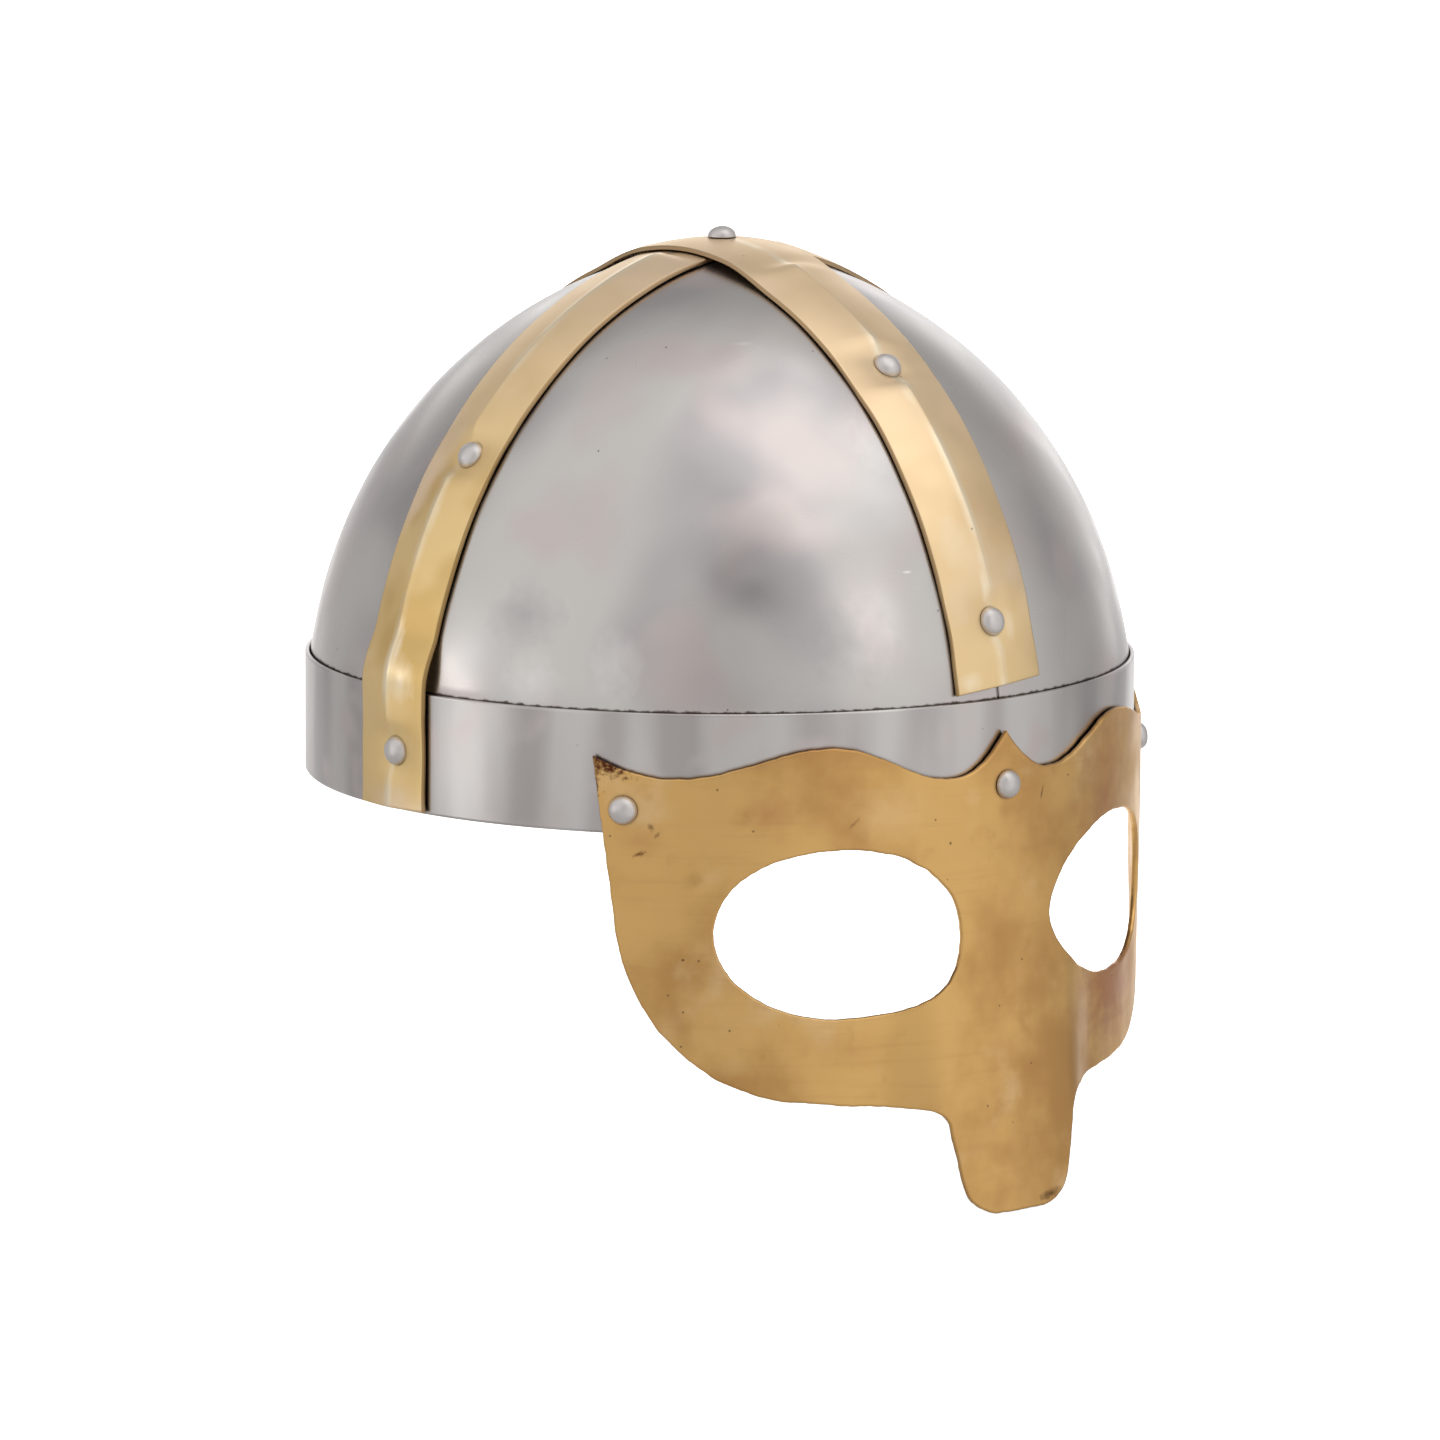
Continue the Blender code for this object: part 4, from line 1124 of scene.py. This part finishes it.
def backlit_acrylic(colours, studio):
    """Matte opal acrylic lit from below by panels: nearly white, with brighter fields over the panels."""
    material = bpy.data.materials.new("backlit_opal_acrylic")
    material.use_nodes = True
    tree = material.node_tree
    shader = tree.nodes["Principled BSDF"]
    shader.inputs["Base Color"].default_value = (*colours.floor, 1.0)
    shader.inputs["Roughness"].default_value = 0.9
    shader.inputs["Specular IOR Level"].default_value = 0.1
    shader.inputs["Emission Color"].default_value = (1.0, 1.0, 1.0, 1.0)
    place = add_node(tree, "ShaderNodeTexCoord").outputs["Object"]
    seen = add_node(tree, "ShaderNodeLightPath").outputs["Is Camera Ray"]
    glow = add_node(tree, "ShaderNodeMath", {0: seen, 1: studio.table_glow}, operation="MULTIPLY").outputs[0]
    for panel in TABLE_PANELS:
        away = away_from(tree, place, panel)
        field = add_node(tree, "ShaderNodeMapRange", {"Value": away, "From Min": 1.20, "From Max": 0.80,
                                                      "To Max": panel["glow"]},
                         interpolation_type="SMOOTHSTEP")
        glow = add_node(tree, "ShaderNodeMath", {0: glow, 1: field.outputs[0]}, operation="ADD").outputs[0]
    tree.links.new(glow, shader.inputs["Emission Strength"])
    return material


def camera_turn(studio):
    """The camera's directions about the middle of the upright helmet."""
    return (Matrix.Translation((0.0, 0.0, view_middle)) @ Matrix.Rotation(studio.azimuth, 4, "Z")
            @ Matrix.Rotation(math.pi / 2 - studio.elevation, 4, "X") @ Matrix.Rotation(studio.roll, 4, "Z"))


def camera_way(studio, way):
    """One of the camera's directions at the lying helmet: (1, 0, 0) to its side, (0, 0, 1) towards it."""
    return (resting() @ camera_turn(studio)).to_3x3() @ Vector(way)


class SPANGENHELM_OT_skull_plates(bpy.types.Operator):
    """Add the four domed skull plates"""

    bl_idname = "spangenhelm.skull_plates"
    bl_label = "Skull Plates"

    def execute(self, context):
        size = context.scene.spangenhelm_sizes
        steel = satin_mild_steel(context.scene.spangenhelm_colours, plate_line(size).run_at(size.brow_height))
        for quarter, place in enumerate(("front_right", "front_left", "back_left", "back_right")):
            name = "domed_plate_" + place
            mesh = skull_plate_mesh(size, name, quarter)
            lay_down(name, mesh, steel, "skull_plate_" + place)
        return {"FINISHED"}


class SPANGENHELM_OT_brow_band(bpy.types.Operator):
    """Add the steel ring round the foot of the skull"""

    bl_idname = "spangenhelm.brow_band"
    bl_label = "Brow Band"

    def execute(self, context):
        mesh = brow_band_mesh(context.scene.spangenhelm_sizes, "steel_brow_band")
        steel = brushed_mild_steel(context.scene.spangenhelm_colours)
        lay_down("steel_brow_band", mesh, steel, "brow_band")
        return {"FINISHED"}


class SPANGENHELM_OT_ridged_bands(bpy.types.Operator):
    """Add the two ridged brass bands that cross at the crown"""

    bl_idname = "spangenhelm.ridged_bands"
    bl_label = "Ridged Bands"

    def execute(self, context):
        size = context.scene.spangenhelm_sizes
        colours = context.scene.spangenhelm_colours
        front, back, right, left = band_halves(size)
        side = ridged_band_mesh(size, "ridged_side_band", [right, left], size.side_band_width,
                                -side_band_shift, no_lift, size.front_band_width / 2 + crossing_margin)
        brass = polished_brass(colours, "side_band", SIDE_BAND_HIGHLIGHTS, side_pale_reach)
        lay_down("ridged_side_band", side, brass, "side_band")
        ahead = ridged_band_mesh(size, "ridged_front_back_band", [front, back], size.front_band_width, 0.0,
                                 crossing_lift, flat_round_crown)
        brass = polished_brass(colours, "front_back_band", FRONT_BAND_HIGHLIGHTS, front_pale_reach)
        lay_down("ridged_front_back_band", ahead, brass, "front_back_band")
        return {"FINISHED"}


class SPANGENHELM_OT_eye_mask(bpy.types.Operator):
    """Add the brass eye mask with its nasal"""

    bl_idname = "spangenhelm.eye_mask"
    bl_label = "Eye Mask"

    def execute(self, context):
        mesh = eye_mask_mesh(context.scene.spangenhelm_sizes, "spectacle_mask")
        brass = tarnished_brass(context.scene.spangenhelm_colours)
        lay_down("spectacle_mask", mesh, brass, "eye_mask")
        return {"FINISHED"}


class SPANGENHELM_OT_rivets(bpy.types.Operator):
    """Add the domed rivets"""

    bl_idname = "spangenhelm.rivets"
    bl_label = "Rivets"

    def execute(self, context):
        size = context.scene.spangenhelm_sizes
        steel = satin_rivet_steel(context.scene.spangenhelm_colours)
        for number, (node, place, stack) in enumerate(rivet_table(size)):
            mesh = rivet_mesh(size, "domed_" + node, stack, number * 1.7)
            mesh.transform(place)
            lay_down("domed_" + node, mesh, steel, node, sharp=60)
        return {"FINISHED"}


class SPANGENHELM_OT_studio(bpy.types.Operator):
    """Add the floor, the lights and the camera"""

    bl_idname = "spangenhelm.studio"
    bl_label = "Studio"

    def execute(self, context):
        scene = context.scene
        studio = scene.spangenhelm_studio
        self.add_floor(scene, studio)
        self.add_room(scene, studio)
        self.add_lights(scene, studio)
        self.add_camera(scene, studio)
        return {"FINISHED"}

    def add_floor(self, scene, studio):
        corners = [(-table_half, -table_half, 0.0), (table_half, -table_half, 0.0),
                   (table_half, table_half, 0.0), (-table_half, table_half, 0.0)]
        mesh = mesh_from("acrylic_table", corners, [[0, 1, 2, 3]])
        mesh.materials.append(backlit_acrylic(scene.spangenhelm_colours, studio))
        floor = bpy.data.objects.new("acrylic_table", mesh)
        scene.collection.objects.link(floor)

    def add_room(self, scene, studio):
        """A white room with a lit sweep behind the helmet, grey flats at its sides and a dark doorway."""
        world = bpy.data.worlds.new("studio_room")
        world.use_nodes = True
        tree = world.node_tree
        direction = add_node(tree, "ShaderNodeTexCoord").outputs["Generated"]
        to_camera = camera_way(studio, (0.0, 0.0, 1.0))
        towards = add_node(tree, "ShaderNodeVectorMath", {0: direction, 1: to_camera},
                           operation="DOT_PRODUCT")
        # 0 behind the camera and 1 behind the helmet
        around = add_node(tree, "ShaderNodeMapRange", {"Value": towards.outputs["Value"], "From Min": 1.0,
                                                       "From Max": -1.0})
        flats = add_node(tree, "ShaderNodeValToRGB", {"Fac": around.outputs[0]})
        ramp = flats.color_ramp
        ramp.interpolation = "B_SPLINE"
        for degrees, _ in ROOM[1:-1]:
            ramp.elements.new((1 - math.cos(math.radians(degrees))) / 2)
        for element, (degrees, brightness) in zip(ramp.elements, ROOM):
            element.position = (1 - math.cos(math.radians(degrees))) / 2
            element.color = (brightness, brightness, brightness, 1.0)
        # The doorway's like on the far side of the room lies under the table
        across = camera_way(studio, (1.0, 0.0, 0.0))
        across = (across - doorway_direction * across.dot(doorway_direction)).normalized()
        upward = doorway_direction.cross(across)
        across /= math.sin(doorway_reach[0])
        upward /= math.sin(doorway_reach[1])
        beside = add_node(tree, "ShaderNodeVectorMath", {0: direction, 1: across}, operation="DOT_PRODUCT")
        above = add_node(tree, "ShaderNodeVectorMath", {0: direction, 1: upward}, operation="DOT_PRODUCT")
        both = add_node(tree, "ShaderNodeCombineXYZ", {0: beside.outputs["Value"], 1: above.outputs["Value"]})
        door = add_node(tree, "ShaderNodeVectorMath", {0: both.outputs[0]}, operation="LENGTH")
        door_share = add_node(tree, "ShaderNodeMapRange", {"Value": door.outputs["Value"], "From Min": 1.10,
                                                           "From Max": 0.90})
        room = add_node(tree, "ShaderNodeMix", {0: door_share.outputs[0], 6: flats.outputs[0],
                                                7: doorway_shade}, data_type="RGBA")
        seen = add_node(tree, "ShaderNodeLightPath").outputs["Is Camera Ray"]
        sweep = add_node(tree, "ShaderNodeMix", {0: seen, 6: room.outputs[2], 7: (1.0, 1.0, 1.0, 1.0)},
                         data_type="RGBA")
        background = tree.nodes["Background"]
        tree.links.new(sweep.outputs[2], background.inputs["Color"])
        background.inputs["Strength"].default_value = studio.ambient
        scene.world = world
        scene.view_settings.view_transform = "Standard"

    def add_lights(self, scene, studio):
        for softbox in SOFTBOXES:
            width, height = softbox["width"], softbox["height"]
            light = bpy.data.lights.new(softbox["name"], "AREA")
            light.shape = "RECTANGLE"
            light.size = width
            light.size_y = height
            light.energy = studio.softbox_glow * softbox["glow"] * math.pi * width * height
            lamp = bpy.data.objects.new(softbox["name"], light)
            lamp.location = softbox["place"]
            lamp.visible_camera = False
            lamp.rotation_euler = (light_aim - lamp.location).to_track_quat("-Z", "Y").to_euler()
            scene.collection.objects.link(lamp)

    def add_camera(self, scene, studio):
        upright = (camera_turn(studio) @ Matrix.Translation((0.0, 0.0, studio.distance))
                   @ Matrix.Rotation(-camera_pitch, 4, "X"))
        data = bpy.data.cameras.new("studio_camera")
        data.lens = studio.focal_length
        data.sensor_width = 36.0
        data.clip_end = 100.0
        camera = bpy.data.objects.new("studio_camera", data)
        camera.matrix_world = resting() @ upright
        scene.collection.objects.link(camera)
        scene.camera = camera


class SPANGENHELM_PT_panel(bpy.types.Panel):
    """Spangenhelm pieces, sizes, colours and studio"""

    bl_idname = "SPANGENHELM_PT_panel"
    bl_label = "Spangenhelm"
    bl_space_type = "VIEW_3D"
    bl_region_type = "UI"
    bl_category = "Spangenhelm"

    def draw(self, context):
        layout = self.layout
        for operator in operators:
            layout.operator(operator.bl_idname)
        for group in (context.scene.spangenhelm_sizes, context.scene.spangenhelm_colours,
                      context.scene.spangenhelm_studio):
            box = layout.box()
            for name in group.__annotations__:
                box.prop(group, name)


operators = (
    SPANGENHELM_OT_skull_plates,
    SPANGENHELM_OT_brow_band,
    SPANGENHELM_OT_ridged_bands,
    SPANGENHELM_OT_eye_mask,
    SPANGENHELM_OT_rivets,
    SPANGENHELM_OT_studio,
)
classes = (SpangenhelmSizes, SpangenhelmColours, SpangenhelmStudio, *operators, SPANGENHELM_PT_panel)


def register():
    for item in classes:
        bpy.utils.register_class(item)
    bpy.types.Scene.spangenhelm_sizes = bpy.props.PointerProperty(type=SpangenhelmSizes)
    bpy.types.Scene.spangenhelm_colours = bpy.props.PointerProperty(type=SpangenhelmColours)
    bpy.types.Scene.spangenhelm_studio = bpy.props.PointerProperty(type=SpangenhelmStudio)


def unregister():
    del bpy.types.Scene.spangenhelm_studio
    del bpy.types.Scene.spangenhelm_colours
    del bpy.types.Scene.spangenhelm_sizes
    for item in reversed(classes):
        bpy.utils.unregister_class(item)


def main():
    """Build every piece and the studio."""
    register()
    bpy.ops.spangenhelm.skull_plates()
    bpy.ops.spangenhelm.brow_band()
    bpy.ops.spangenhelm.ridged_bands()
    bpy.ops.spangenhelm.eye_mask()
    bpy.ops.spangenhelm.rivets()
    bpy.ops.spangenhelm.studio()


if __name__ == "__main__":
    main()
